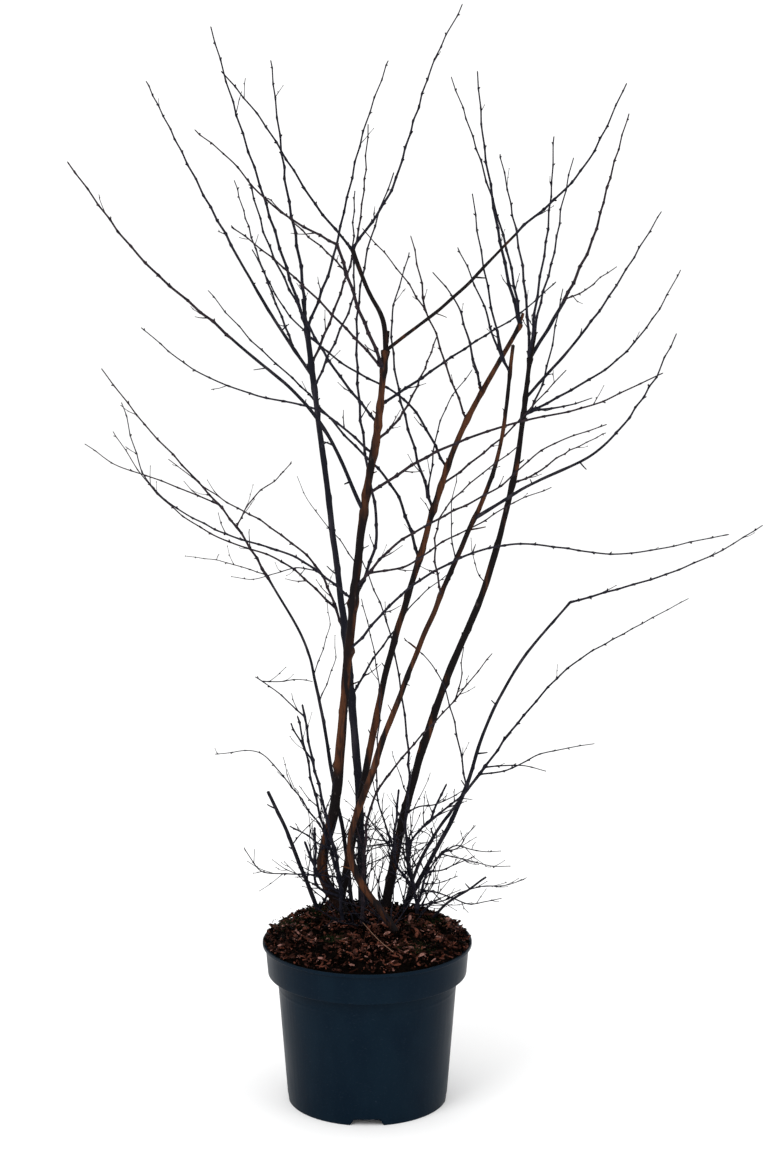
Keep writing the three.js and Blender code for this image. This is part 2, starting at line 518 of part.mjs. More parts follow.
// Each node's wood is fused, cut clear of the wood that was made before it where the
// two meet, and cut flat at the ground.
function makeWood(pieces, twigs) {
  const solids = new Map();
  const ground = groundBlock();
  const nodes = [...new Set(pieces.map(({ node }) => node))];
  nodes.forEach((node, order) => {
    const own = pieces.filter((piece) => piece.node === node);
    const grown = twigs.filter((twig) => twig.node === node);
    let solid = join([...own, ...grown].map((piece) => tube(piece.limb, piece.shape, piece)));
    const ownSamples = own.flatMap(samples);
    const earlier = pieces.filter((piece) => nodes.indexOf(piece.node) < order);
    const limbs = own.map(({ limb }) => limb);
    earlier
      .filter((piece) => !limbs.includes(piece.limb))
      .filter((piece) => comesWithin(SIDE_TWIG.sampleStep, ownSamples, samples(piece)))
      .forEach((piece) => {
        solid = solid.subtract(tube(piece.limb, piece.shape, { ...piece, grow: GAP }));
      });
    if (own.some(({ limb }) => limb.onGround)) solid = solid.subtract(ground);
    solids.set(node, largestPiece(solid));
  });
  return solids;
}

const plant = new THREE.Group();
plant.add(meshFrom(makePot(), 'pot', POT_PLASTIC));
plant.add(meshFrom(makeSoil(), 'soil', MULCH));

const pieces = layOutWood();
makeWood(pieces, growMasses(pieces)).forEach((solid, node) => {
  plant.add(meshFrom(solid, node, node.startsWith('twigs') ? TWIG_WOOD : WOOD));
});

export default plant;
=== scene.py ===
# A bare, many-stemmed spirea shrub in its round plastic pot, dressed for the render.
# Metres, +Z up, +X to the right in the photograph and +Y away from the camera.

import math
import random

import bmesh
import bpy
import numpy as np
from mathutils import Euler, Matrix, Vector, noise


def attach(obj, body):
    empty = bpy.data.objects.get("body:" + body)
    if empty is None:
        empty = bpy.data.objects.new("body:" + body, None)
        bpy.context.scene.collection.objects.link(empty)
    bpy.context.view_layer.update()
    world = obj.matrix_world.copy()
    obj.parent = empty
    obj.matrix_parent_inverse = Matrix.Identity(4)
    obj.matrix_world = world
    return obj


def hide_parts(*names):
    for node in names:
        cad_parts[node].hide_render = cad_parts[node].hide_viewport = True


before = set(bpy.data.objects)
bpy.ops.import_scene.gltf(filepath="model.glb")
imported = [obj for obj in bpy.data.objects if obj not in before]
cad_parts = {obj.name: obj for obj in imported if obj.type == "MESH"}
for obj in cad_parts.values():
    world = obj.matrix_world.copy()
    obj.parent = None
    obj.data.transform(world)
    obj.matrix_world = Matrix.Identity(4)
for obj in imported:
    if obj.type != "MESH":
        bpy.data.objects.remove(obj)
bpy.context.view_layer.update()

# Camera of the photograph
CAMERA_PLACE = (0.032, -4.8, 1.947)
CAMERA_TILT = math.radians(10.9)
CAMERA_LENS = 82.06
CAMERA_SENSOR = 36.0

# Pot
POT_HEIGHT = 0.315
LIP_RADIUS = 0.200
LIP_HEIGHT = 0.007
BAND_TOP_RADIUS = 0.1945
BAND_BOTTOM_RADIUS = 0.190
BAND_BOTTOM = 0.253
BODY_TOP_RADIUS = 0.1725
BODY_BOTTOM_RADIUS = 0.153
STACKING_LINE = {"height": 0.226, "depth": 0.0004, "width": 0.004}
WALL = 0.003
FLOOR_THICKNESS = 0.003
CENTRE_PAD_RADIUS = 0.095
FOOT_RING_RADIUS = 0.137
CHANNEL_HEIGHT = 0.014
CHANNEL_SLOPE = 0.004
NOTCH = {"count": 4, "width": 0.064, "top_width": 0.050, "height": 0.013}
DRAIN_HOLE = {"count": 8, "radius": 0.007, "ring_radius": 0.116, "cut_height": 0.012, "sides": 32}
POT_SEGMENTS = 300
POT_RING_STEP = 0.014
POT_FILLET = 0.0016
FILLET_STEPS = 4
FILLET_LIMIT = 0.45

# Soil under bark mulch, heaped a little above the rim
GROUND = 0.335
MOUND_RADIUS = 0.158
SHOULDER = {"radius": 0.180, "rise": 0.008}
MULCH_EDGE_DROP = 0.001
SOIL_SEGMENTS = 160
SOIL_RINGS = 46
SOIL_ROUGHNESS = 0.0022
SOIL_SINK = 1.2
# Lumps of the soil: how many there are to the metre, and how high they stand
SOIL_LUMPS = [(38, 1), (95, 0.5)]

# Mulch heaped round the feet of the stems: place, radius and height of each heap
HEAPS = [(-0.060, 0.120, 0.060, 0.009), (0.040, 0.070, 0.060, 0.004), (0.064, -0.041, 0.024, 0.009)]

# Clearance between neighbouring solids
GAP = 0.0003

# Bark chips, crumbs, moss and straw on the soil. Each patch of moss: place and spread.
CHIP = {"count": 1900, "length": (0.005, 0.023), "slimness": (0.20, 0.56), "thick": (0.0009, 0.0030),
        "lift": (0.0, 0.0065)}
CRUMB = {"count": 2600, "length": (0.0025, 0.007), "slimness": (0.35, 0.9), "thick": (0.001, 0.0022),
         "lift": (0.0, 0.0055)}
CHIP_TILT = 0.42
CRUMB_TILT = 0.63
MULCH_HEAP = {"scale": 24, "height": 0.0035}
CHIP_INSET = 0.005
CHIP_LIP_GAP = 0.001
CHIP_EDGE = {"corners": 7, "uneven": 0.3, "reach": (0.72, 1.1), "bend": 0.12, "bend_share": 0.5}
# Rings of a chip from its underside up: size, and height as a share of its thickness
CHIP_PROFILE = [(0.8, -0.5), (1, -0.15), (0.97, 0.3), (0.72, 0.5)]
MOSS = {"count": 3500, "length": (0.003, 0.009), "width": (0.0006, 0.0013), "root": 0.6, "taper": 0.45,
        "lift": (-0.001, 0.003), "rise": (0.1, 1), "droop": 0.3, "rings": 4, "sides": 4}
MOSS_PATCHES = [(-0.135, 0.030, 0.035), (-0.085, 0.085, 0.045), (0.085, -0.105, 0.030), (0.115, 0.040, 0.040),
                (-0.060, -0.060, 0.025), (0.020, 0.110, 0.045)]
STRAW = [(-0.0082, 0.008, 0.3455), (0.0207, -0.079, 0.342), (0.0487, -0.154, 0.343)]
STRAW_DRAW = {"thick": 0.0015, "rings": 40, "sides": 8}

# Root flare of the stems, how much of it is drawn, and how far their line runs on down
FLARE = {"swell": 0.4, "drawn_swell": 0.12, "reach": 0.032, "sink": 0.014}

# Side twigs of a whip, grown by the seeded rule of the part's source
SEED = 71
CROWN_HABIT = {"spacing": (0.180, 0.380), "length": (0.014, 0.046)}
THICKET_HABIT = {"spacing": (0.017, 0.036), "length": (0.028, 0.088)}
THICKET_TOP = 0.590
SIDE_TWIG = {
    "first_share": 0.14,
    "last_share": 0.93,
    "share_of_rest": 0.62,
    "half_turns": (0.7, 1.3),
    "slant": (0.4, 0.8),
    "lift": 0.1,
    "thick_share": 0.62,
    "thickest": 0.0024,
    "tip_thick": 0.0011,
    "clearance": 0.0025,
    "root_widths": 3,
    "longest_root": 0.5,
    "sample_step": 0.006,
}

# The stems stand on the soil. Each row: name, foot, heel just above the foot or None,
# tip, bow of the stem to the left of the straight line from foot to tip at even steps
# along it, thickness at the foot and at the tip.
STEMS = [
    ("stem_left_front", (-0.042, 0.092), (-0.086, 0.08, 0.424), (0.035, -0.07, 1.45),
     (-0.008, -0.004, 0.002, 0.004, 0.004, -0.002), (0.0218, 0.0108)),
    ("stem_left_back", (-0.009, 0.128), None, (-0.115, 0.215, 1.46), (-0.016, -0.016, -0.008),
     (0.0168, 0.0099)),
    ("stem_centre", (-0.058, 0.098), None, (0.285, 0.07, 1.485), (0.024, 0.048, 0.052, 0.048),
     (0.0163, 0.0088)),
    ("stem_bent", (0.06, -0.038), (-0.03, -0.03, 0.486), (0.26, -0.17, 1.47),
     (0.01, 0, -0.018, -0.034), (0.0137, 0.0062)),
    ("stem_right", (0.034, 0.118), None, (0.315, 0.27, 1.4), (0.012, 0, -0.028, -0.028),
     (0.0173, 0.0088)),
    ("stem_arching", (0.067, 0.112), None, (0.375, -0.06, 0.985), (-0.002, 0.004, 0.028, 0.028),
     (0.0097, 0.0043)),
    ("stem_low_right", (0.071, 0.128), None, (0.22, 0.16, 0.6), (0.018, 0.014), (0.0072, 0.0048)),
    ("stem_far_left", (-0.031, 0.14), None, (-0.185, 0.06, 1.005), (-0.018, -0.026, -0.036, -0.036),
     (0.0083, 0.0039)),
    ("stump_left", (-0.094, 0.095), None, (-0.19, 0.06, 0.59), (-0.002, -0.004), (0.0082, 0.0062)),
    ("stump_right", (0.125, 0.062), None, (0.225, -0.02, 0.445), (0.006, 0.002), (0.0052, 0.0038)),
]

# The boughs fork from the stems. Each row: name, the limb it leaves, the share of that
# limb's length, tip, bow, thickness, and the share of its own length that is bough.
BOUGHS = [
    ("bough_high_right", "stem_left_front", 1, (0.435, -0.36, 1.925), (-0.026, -0.032, -0.042),
     (0.0065, 0.0017), 0.5),
    ("bough_upper_left", "stem_left_front", 1, (-0.025, -0.04, 1.63), (-0.012, -0.006, -0.002),
     (0.0088, 0.0063), 1),
    ("bough_long_left", "stem_left_front", 0.73, (-0.5, -0.33, 1.795), (-0.046, -0.02, 0.01),
     (0.0072, 0.002), 0.5),
    ("bough_back_left", "stem_left_back", 0.92, (-0.445, 0.56, 1.925), (0.012, 0.012, 0.008),
     (0.0065, 0.002), 0.4),
    ("bough_far_right", "stem_bent", 0.73, (0.52, -0.42, 1.515), (-0.024, -0.058, -0.044),
     (0.0066, 0.0016), 0.55),
    ("bough_right_high", "stem_right", 1, (0.53, 0.62, 1.86), (-0.02, -0.026, -0.012),
     (0.007, 0.002), 0.24),
    ("bough_right_out", "stem_right", 0.93, (0.585, 0.48, 1.67), (-0.012, -0.016, -0.01),
     (0.0058, 0.0017), 0.4),
]

# The whips are the long bare shoots of the masses. Each row: the mass, with a second
# word where it has more than one whip, the limb it leaves, the share of that limb's
# length, tip, bow and thickness.
WHIPS = [
    ("twigs_top", "bough_upper_left", 1, (0.175, 0.12, 2.065), (-0.02, -0.008, 0.004),
     (0.0046, 0.0016)),
    ("twigs_top left", "twigs_top", 0, (-0.245, -0.24, 1.945), (0.006, 0, -0.006), (0.0042, 0.0018)),
    ("twigs_left_fork", "stem_left_front", 0.97, (-0.05, -0.21, 1.65), (0.002, 0.004, 0.002),
     (0.0062, 0.0048)),
    ("twigs_left_fork end", "twigs_left_fork", 1, (-0.28, -0.4, 1.85), (0.014, 0.016, 0.002),
     (0.0039, 0.0014)),
    ("twigs_left_fork side", "twigs_left_fork", 0.79, (-0.16, -0.43, 1.74), (-0.002, 0, 0),
     (0.0029, 0.0014)),
    ("twigs_left_fork cross", "twigs_left_fork", 0, (-0.23, -0.26, 1.685), (-0.006, -0.01, -0.008),
     (0.0047, 0.0017)),
    ("twigs_mid_left", "stem_left_front", 0.83, (-0.425, 0.15, 1.47), (-0.022, 0.01, 0.022),
     (0.0045, 0.0013)),
    ("twigs_crossing_left", "stem_centre", 0.6, (-0.31, 0.33, 1.525),
     (-0.044, -0.034, -0.026, -0.006), (0.006, 0.0013)),
    ("twigs_mid_right", "stem_left_front", 0.76, (0.53, -0.12, 1.415), (0.024, 0.02, -0.004),
     (0.0058, 0.0018)),
    ("twigs_front_right", "stem_left_front", 0.49, (0.615, -0.42, 1.175), (0.086, 0.102, 0.024),
     (0.0055, 0.0018)),
    ("twigs_upper_right", "stem_left_front", 0.91, (0.36, 0.23, 1.55), (-0.002, -0.004, -0.01),
     (0.0054, 0.0017)),
    ("twigs_inner_right", "stem_left_front", 0.85, (0.135, 0.33, 1.435), (-0.016, -0.016, -0.01),
     (0.0052, 0.0023)),
    ("twigs_inner_middle", "stem_left_front", 0.57, (0.05, 0.13, 1.76),
     (-0.032, 0, 0.028, 0.042, 0.032), (0.0063, 0.0019)),
    ("twigs_inner_left", "stem_left_front", 0.88, (-0.225, 0.22, 1.745), (0.024, 0.028, 0.024),
     (0.0051, 0.0025)),
    ("twigs_long_right", "stem_left_front", 0.6, (0.42, -0.25, 1.34), (0.026, 0.022, 0.012, 0.024),
     (0.0054, 0.0016)),
    ("twigs_long_right back", "twigs_long_right", 0.07, (0.345, 0.06, 1.18),
     (-0.018, -0.006, -0.004, 0.004), (0.0044, 0.0016)),
    ("twigs_low_left", "stem_left_front", 0.58, (-0.415, -0.35, 1.39), (0.01, 0.064, 0.078),
     (0.005, 0.0012)),
    ("twigs_low_left side", "twigs_low_left", 0.16, (-0.24, -0.2, 1.06), (-0.008, 0, 0.008),
     (0.0026, 0.0011)),
    ("twigs_low_centre", "stem_left_back", 0.37, (0.155, 0.33, 0.96), (0.012, 0.014, 0.016),
     (0.005, 0.0017)),
    ("twigs_back_low", "stem_left_back", 0.48, (-0.4, 0.42, 1.18), (-0.054, -0.046, -0.016),
     (0.0053, 0.0017)),
    ("twigs_back_low outer", "twigs_back_low", 0.1, (-0.48, 0.13, 1.275), (-0.006, 0.036, 0.04),
     (0.0044, 0.0014)),
    ("twigs_back_side", "bough_back_left", 0.09, (-0.275, 0.64, 1.725), (0.004, 0.006, 0.004),
     (0.0042, 0.0017)),
    ("twigs_back_top", "stem_left_back", 1, (-0.185, 0.33, 1.965), (-0.004, 0.002, 0.002),
     (0.0064, 0.0019)),
    ("twigs_back_top left", "twigs_back_top", 0, (-0.285, 0.11, 2.025), (0.002, 0.002, 0.004),
     (0.0055, 0.0019)),
    ("twigs_back_top right", "twigs_back_top", 0, (0.04, 0.48, 1.965), (-0.008, 0, 0.006),
     (0.0052, 0.0018)),
    ("twigs_back_inner", "stem_left_back", 0.94, (0, 0.56, 1.84), (-0.02, -0.03, -0.02),
     (0.0049, 0.0018)),
    ("twigs_back_middle", "stem_left_back", 0.9, (-0.02, -0.06, 1.735), (-0.018, -0.036, -0.016),
     (0.0045, 0.0017)),
    ("twigs_centre_top", "stem_centre", 1, (0.205, 0.15, 1.945), (0.01, 0.012, 0.01), (0.0059, 0.0019)),
    ("twigs_centre_top left", "twigs_centre_top", 0, (0.15, -0.12, 1.935), (-0.012, -0.012, -0.008),
     (0.0046, 0.0014)),
    ("twigs_centre_left", "stem_centre", 0.83, (-0.005, -0.18, 1.675), (-0.012, -0.028, -0.022),
     (0.004, 0.0014)),
    ("twigs_centre_left top", "twigs_centre_left", 0.55, (0.08, -0.06, 1.655), (-0.002, -0.002),
     (0.0031, 0.0015)),
    ("twigs_centre_up", "stem_centre", 0.68, (0.08, 0.24, 1.605), (0.026, 0.046, 0.044),
     (0.0055, 0.0017)),
    ("twigs_centre_up right", "twigs_centre_up", 0.06, (0.195, 0.06, 1.4), (0.014, 0.024, 0.02),
     (0.0034, 0.0012)),
    ("twigs_centre_back", "stem_centre", 0.75, (-0.22, 0.25, 1.61), (-0.026, 0.016, 0.03),
     (0.0048, 0.0018)),
    ("twigs_centre_right", "stem_centre", 0.72, (0.385, 0.28, 1.375), (-0.008, -0.012, -0.006),
     (0.0045, 0.0018)),
    ("twigs_centre_spur", "stem_centre", 0.88, (0.12, -0.06, 1.59), (-0.008, -0.016, -0.018),
     (0.0047, 0.0017)),
    ("twigs_bent_top", "stem_bent", 0.96, (0.16, -0.23, 1.645), (0.004, -0.002, -0.002),
     (0.0042, 0.0014)),
    ("twigs_bent_top back", "twigs_bent_top", 0.09, (0.19, -0.06, 1.73), (0.004, 0.004, 0.004),
     (0.0039, 0.0017)),
    ("twigs_bent_low", "stem_bent", 0.6, (0.255, -0.48, 1.335), (0.046, 0.064, 0.038), (0.0038, 0.0017)),
    ("twigs_right_top", "stem_right", 1, (0.26, 0.42, 1.785), (-0.008, -0.01, -0.006),
     (0.0055, 0.0018)),
    ("twigs_right_top front", "twigs_right_top", 0, (0.35, 0.18, 1.825), (0, -0.006, -0.006),
     (0.0052, 0.0018)),
    ("twigs_right_top back", "twigs_right_top", 0, (0.41, 0.5, 1.775), (0.004, -0.002, 0.002),
     (0.0048, 0.0017)),
    ("twigs_right_high side", "bough_right_high", 0.25, (0.505, 0.56, 1.555), (-0.006, -0.002),
     (0.003, 0.0012)),
    ("twigs_right_wide", "stem_right", 0.9, (0.585, 0.12, 1.58), (-0.026, -0.044, -0.032),
     (0.005, 0.0013)),
    ("twigs_right_wide low", "twigs_right_wide", 0.05, (0.44, 0.33, 1.315), (-0.004, -0.004),
     (0.0046, 0.0017)),
    ("twigs_right_wide up", "twigs_right_wide", 0.04, (0.375, 0.25, 1.535), (-0.008, -0.008, -0.004),
     (0.004, 0.0014)),
    ("twigs_right_back", "stem_right", 0.78, (0.485, 0.52, 1.22), (-0.004, 0.004, 0.002),
     (0.0043, 0.0017)),
    ("twigs_arching", "stem_arching", 1, (0.69, -0.3, 1.17), (-0.01, -0.018, -0.016), (0.0042, 0.0018)),
    ("twigs_low_right", "stem_low_right", 0.99, (0.655, 0.47, 0.885), (0.034, 0.05, 0.028),
     (0.0049, 0.0017)),
    ("twigs_low_right side", "twigs_low_right", 0, (0.455, 0.33, 0.615), (-0.006, 0.008, 0.006),
     (0.0037, 0.0017)),
    ("twigs_low_right front", "twigs_low_right", 0.03, (0.345, 0.12, 0.615), (0.006, 0.008),
     (0.0034, 0.0017)),
    ("twigs_far_left", "stem_far_left", 1, (-0.49, 0.04, 1.405), (-0.014, -0.008, 0.002),
     (0.0048, 0.0017)),
    ("twigs_far_left low", "twigs_far_left", 0.34, (-0.54, 0.18, 1.245), (0.002, 0.006, 0.012),
     (0.0032, 0.0016)),
    ("twigs_far_left up", "twigs_far_left", 0.23, (-0.135, -0.12, 1.255), (0.01, 0.01, 0),
     (0.0031, 0.0016)),
    ("twigs_far_left side", "twigs_far_left", 0.02, (-0.325, -0.16, 1.09), (-0.004, -0.006),
     (0.0022, 0.0011)),
]

# The shoots at the shrub's foot grow straight from the soil.
FOOT_SHOOTS = [
    ("twigs_foot_left", (-0.047, 0.04), None, (-0.12, -0.04, 0.785), (-0.01, -0.006, 0),
     (0.007, 0.004)),
    ("twigs_foot_middle", (-0.01, 0.02), None, (0.235, 0.02, 0.87), (0.05, 0.084, 0.064, 0.028),
     (0.0065, 0.0019)),
    ("twigs_foot_right", (0.096, 0.084), None, (0.155, 0.06, 0.48), (0.01, 0.016, 0.012),
     (0.0055, 0.0021)),
]

FOOT_WHIPS = [
    ("twigs_foot_left second", "twigs_foot_left", 0.2, (-0.13, -0.01, 0.755), (0.004, 0.006, 0.002),
     (0.0055, 0.0035)),
    ("twigs_foot_left spur", "twigs_foot_left", 0.75, (-0.145, 0.06, 0.725), (0.002, 0.002),
     (0.0039, 0.0031)),
    ("twigs_foot_left arch", "twigs_foot_left", 0.35, (-0.3, 0.21, 0.625), (-0.026, -0.048, -0.056),
     (0.0033, 0.0016)),
    ("twigs_foot_left mid", "twigs_foot_left", 0.95, (-0.21, 0.02, 0.825), (-0.002, -0.004),
     (0.0031, 0.0016)),
    ("twigs_foot_left level", "twigs_foot_left mid", 0.87, (-0.105, 0.09, 0.8), (0, 0.004),
     (0.0023, 0.0015)),
    ("twigs_foot_left low", "twigs_foot_left", 0.21, (-0.23, -0.06, 0.515), (0.01, 0.024, 0.034),
     (0.0035, 0.0016)),
    ("twigs_foot_left stub", "twigs_foot_left", 0.12, (-0.1, 0.02, 0.53), (0.036, 0.026, 0.012),
     (0.0055, 0.0047)),
    ("twigs_foot_left leaning", "twigs_foot_left", 0.14, (-0.12, 0.06, 0.49), (0.016, 0.01),
     (0.0055, 0.0049)),
    ("twigs_foot_left knobby", "twigs_foot_left", 0.34, (-0.145, -0.02, 0.545), (0.004, 0),
     (0.0037, 0.0027)),
    ("twigs_foot_middle up", "twigs_foot_middle", 0.82, (0.18, -0.04, 0.895), (-0.004, -0.002),
     (0.0029, 0.0016)),
    ("twigs_foot_right long", "twigs_foot_right", 0.1, (-0.01, 0.12, 1.03),
     (0.002, -0.026, -0.034, -0.03), (0.006, 0.0021)),
    ("twigs_foot_right side", "twigs_foot_right", 0.6, (0.205, 0.02, 0.475), (-0.006, -0.004, -0.002),
     (0.0033, 0.0016)),
    ("twigs_foot_right low", "twigs_foot_right", 0.34, (0.255, -0.01, 0.4),
     (-0.002, -0.01, -0.018, -0.01), (0.0039, 0.0015)),
    ("twigs_foot_right lowest", "twigs_foot_right", 0.13, (0.305, 0.04, 0.425),
     (-0.004, 0.004, 0.006, -0.004), (0.0035, 0.0015)),
    ("twigs_foot_right mid", "twigs_foot_right", 0.83, (0.26, 0.15, 0.445), (0.02, 0.01, 0.002),
     (0.0029, 0.0015)),
    ("twigs_foot_right fan", "twigs_foot_right", 0.91, (0.205, 0, 0.54), (-0.012, -0.004),
     (0.0029, 0.0015)),
    ("twigs_foot_right droop", "twigs_foot_right", 0.88, (0.27, -0.03, 0.47),
     (-0.002, -0.004, -0.006), (0.0029, 0.0015)),
    ("twigs_foot_right short", "twigs_foot_right", 0.43, (0.175, 0.13, 0.4), (-0.006, -0.004),
     (0.0027, 0.0015)),
    ("twigs_foot_right inner", "twigs_foot_right long", 0.17, (0.19, 0, 0.61), (0.01, 0.008, 0.002),
     (0.0049, 0.0037)),
    ("twigs_foot_right arch", "twigs_foot_right long", 0.27, (0.18, 0.03, 0.6),
     (0.004, -0.004, -0.004), (0.0035, 0.0017)),
    ("twigs_foot_right broken", "twigs_foot_right inner", 0.47, (0.15, 0.02, 0.615), (0.002, 0.002),
     (0.0045, 0.0037)),
    ("twigs_foot_right stub", "twigs_foot_right long", 0.07, (0.085, 0.1, 0.48), (0.008, 0.006),
     (0.0055, 0.0047)),
    ("twigs_foot_right tall", "twigs_foot_right long", 0.06, (0.06, 0.02, 0.605),
     (0.026, 0.024, 0.012), (0.0055, 0.0041)),
    ("twigs_foot_right thin", "twigs_foot_right tall", 0.42, (-0.01, 0.04, 0.97),
     (0.018, 0.008, -0.01, -0.01), (0.0035, 0.0017)),
    ("twigs_foot_right cross", "twigs_foot_right tall", 0.44, (0, 0, 0.56), (0.004, 0.002),
     (0.0037, 0.0021)),
    ("twigs_foot_right bent", "twigs_foot_right inner", 1, (0.07, 0.02, 0.9), (-0.016, -0.03, -0.032),
     (0.0037, 0.0017)),
]

# Short cut ends left above the forks: the limb, the tip and the thickness at its ends.
CUT_ENDS = [
    ("stem_left_front", (0.0392, -0.070, 1.4857), (0.0085, 0.0062)),
    ("stem_left_back", (-0.1233, 0.215, 1.519), (0.0070, 0.0052)),
    ("stem_right", (0.3246, 0.270, 1.4506), (0.0080, 0.0066)),
    ("stem_centre", (0.2900, 0.070, 1.5050), (0.0070, 0.0056)),
]

# Thin shoots that only the dressed plant has, in the open inside of the crown: the limb,
# the share of its length, tip, bow and thickness.
INNER_SHOOTS = [
    ("stem_left_front", 0.64, (-0.130, 0.060, 1.200), (0, 0.006, 0.008), (0.0026, 0.0010)),
    ("stem_far_left", 0.62, (-0.060, 0.020, 0.905), (-0.006, -0.010), (0.0024, 0.0011)),
    ("stem_far_left", 0.70, (-0.078, 0.010, 0.985), (-0.010, -0.016), (0.0022, 0.0010)),
    ("stem_centre", 0.66, (0.100, 0.030, 1.165), (-0.006, -0.004), (0.0024, 0.0012)),
    ("stem_bent", 0.66, (0.165, -0.060, 1.225), (0.010, 0.008), (0.0026, 0.0012)),
    ("stem_right", 0.60, (0.200, 0.190, 1.060), (0.008, 0.006), (0.0024, 0.0012)),
]

# How far the ends of a tube bulge out, as shares of its radius
BULGE = {"root": 0.3, "limb": 0.8, "whip": 1.2, "cut": 0.25}

# How the wood is drawn: sides of a section, length between rings and fewest rings
STEM_DRAW = {"sides": 26, "step": 0.0045, "fewest": 6}
BOUGH_DRAW = {"sides": 14, "step": 0.0045, "fewest": 6}
WHIP_DRAW = {"sides": 8, "step": 0.0055, "fewest": 4}
TWIG_DRAW = {"sides": 6, "step": 0.006, "fewest": 4}

# Bark in relief, as shares of the limb's radius
BARK_RELIEF = {"turn": (0, 6), "drift": 2.4, "swell": 0.07, "swell_length": 0.03, "wander": 0.0011,
               "wander_length": 0.045}
# Lobes and ridges: how many go round the limb, their height and the length of their waves
BARK_WAVES = [(2, 0.055, 0.14), (3, 0.055, 0.09), (7, 0.03, 0.05)]
KNOT = {"spacing": (0.05, 0.13), "height": (0.16, 0.42), "width": (0.0035, 0.007), "roundness": 2.2}
COLLAR = {"swell": 0.27, "reach": 0.011}
SNAG = {"spacing": (0.06, 0.16), "last_share": 0.96, "length": (0.006, 0.024), "thick": (0.0016, 0.0032),
        "lean": (0.3, 1.1), "inset": 0.5, "bend": 0.12, "root": 1.35, "taper": 0.55, "rings": 6, "sides": 7}
CUT_END = {"sink": 0.012, "roughness": 0.16, "rings": 9, "sides": 14}

# Boughs and whips are drawn fuller high in the crown: their radius has the extra from the
# height named full up, and less of it down to the height named from.
UPPER_WOOD = {"from": 1.15, "full": 1.45, "extra": 0.00026}

# Joints of a twig, where it bends a little and carries a bud
JOINT = {"spacing": (0.022, 0.044), "first": (0.5, 1.5), "last_gap": 0.004, "kink": (0.0008, 0.0024),
         "swell": 0.44, "reach": 0.0022}
KINK_SWAY = [(0.4, 1), (-1, 1), (-0.4, 0.4)]
FORK = {"swell": 0.36, "reach": 0.007}
BUD = {"length": (0.0030, 0.0050), "width": (0.0010, 0.0015), "slant": (0.4, 0.75), "sides": 6,
       "full_radius": 0.0013, "smallest": 0.72, "inset": 0.8}
BUD_REFERENCE = (0.02, 1, 0.01)
BUD_PROFILE = [(0.0, 0.55), (0.25, 1.0), (0.55, 0.9), (0.82, 0.5)]
TIP_BUD_DEPTH = 0.0012
TIP_BUD_SHARE = 0.8
SPIRAL = math.radians(137.5)

# Finer twigs on the twigs
FINE_TWIG = {"length": (0.012, 0.038), "share_of_rest": 0.7, "past_rest": 0.006, "thick": (0.0012, 0.0008),
             "slant": (0.5, 1.0), "lift": 0.2, "ground_gap": 0.008}
FINE_PER_JOINT = {"thicket": 0.12, "low": 0.12, "crown": 0.03}
LOW_CROWN_TOP = 1.2

# The finest shoots, which crowd the foot of the stems
THICKET = {
    "count": 96,
    "top": 0.52,
    "tip_top": 0.56,
    "tip_gap": 0.010,
    "middle": (0.030, 0.075),
    "reach": 0.155,
    "length": (0.07, 0.20),
    "slant": (0.35, 1.35),
    "thick": (0.0025, 0.0010),
    "lift": 0.12,
    "bow": 0.09,
}

# Short shoots that stand on the soil among the feet of the stems
GROUND_SHOOT = {
    "count": 26,
    "middle": (0.020, 0.075),
    "spread": 0.085,
    "length": (0.05, 0.17),
    "lean": (0.45, 1.2),
    "bow": 0.16,
    "thick": (0.0030, 0.0012),
}

# Colours, light part first and dark part second. Bark also has a grey bloom, and each kind of bark how far
# its dark patches spread. The dark kind is painted shade: a darker copy of the bark for the limbs that stand
# back from the light. The patchy kind is the red bark with more of its dark patches.
RED_BARK = ((0.066, 0.0245, 0.0115), (0.0070, 0.0054, 0.0058), (0.042, 0.033, 0.031))
SHADED_BARK = ((0.0240, 0.0215, 0.0275), (0.0082, 0.0084, 0.0126), (0.036, 0.035, 0.044))
BARK_OF = {
    "red": (*RED_BARK, 0.12),
    "patchy": (*RED_BARK, 0.24),
    "dark": (*SHADED_BARK, 0.14),
}

# Limbs whose bark isn't dark. The others get the dark bark, painted shade.
BARK_KIND = {
    "stem_left_front": "red",
    "stem_centre": "red",
    "stem_bent": "red",
    "stem_right": "patchy",
    "bough_high_right": "patchy",
    "bough_upper_left": "patchy",
}

TWIG_TINTS = [
    ((0.0115, 0.0110, 0.0175), (0.0059, 0.0062, 0.0104)),
    ((0.0255, 0.0170, 0.0210), (0.0098, 0.0082, 0.0120)),
    ((0.0168, 0.0148, 0.0222), (0.0077, 0.0077, 0.0126)),
]
BUD_TINT = ((0.0200, 0.0125, 0.0130), (0.0085, 0.0065, 0.0080))

# Colours of the mulch, the pot and the floor. Each tint of chips also has its shine. The third tint of chips
# is paler bark with a painted highlight; the fourth is near-black, painted shade in the gaps between chips.
CHIP_TINTS = [
    ((0.100, 0.0285, 0.0155), (0.023, 0.007, 0.0045), 0.09),
    ((0.016, 0.005, 0.003), (0.004, 0.0015, 0.001), 0.02),
    ((0.270, 0.130, 0.105), (0.066, 0.026, 0.019), 0.14),
    ((0.0020, 0.0012, 0.0008), (0.0006, 0.0004, 0.0003), 0.008),
    ((0.038, 0.013, 0.009), (0.009, 0.0032, 0.0024), 0.03),
]
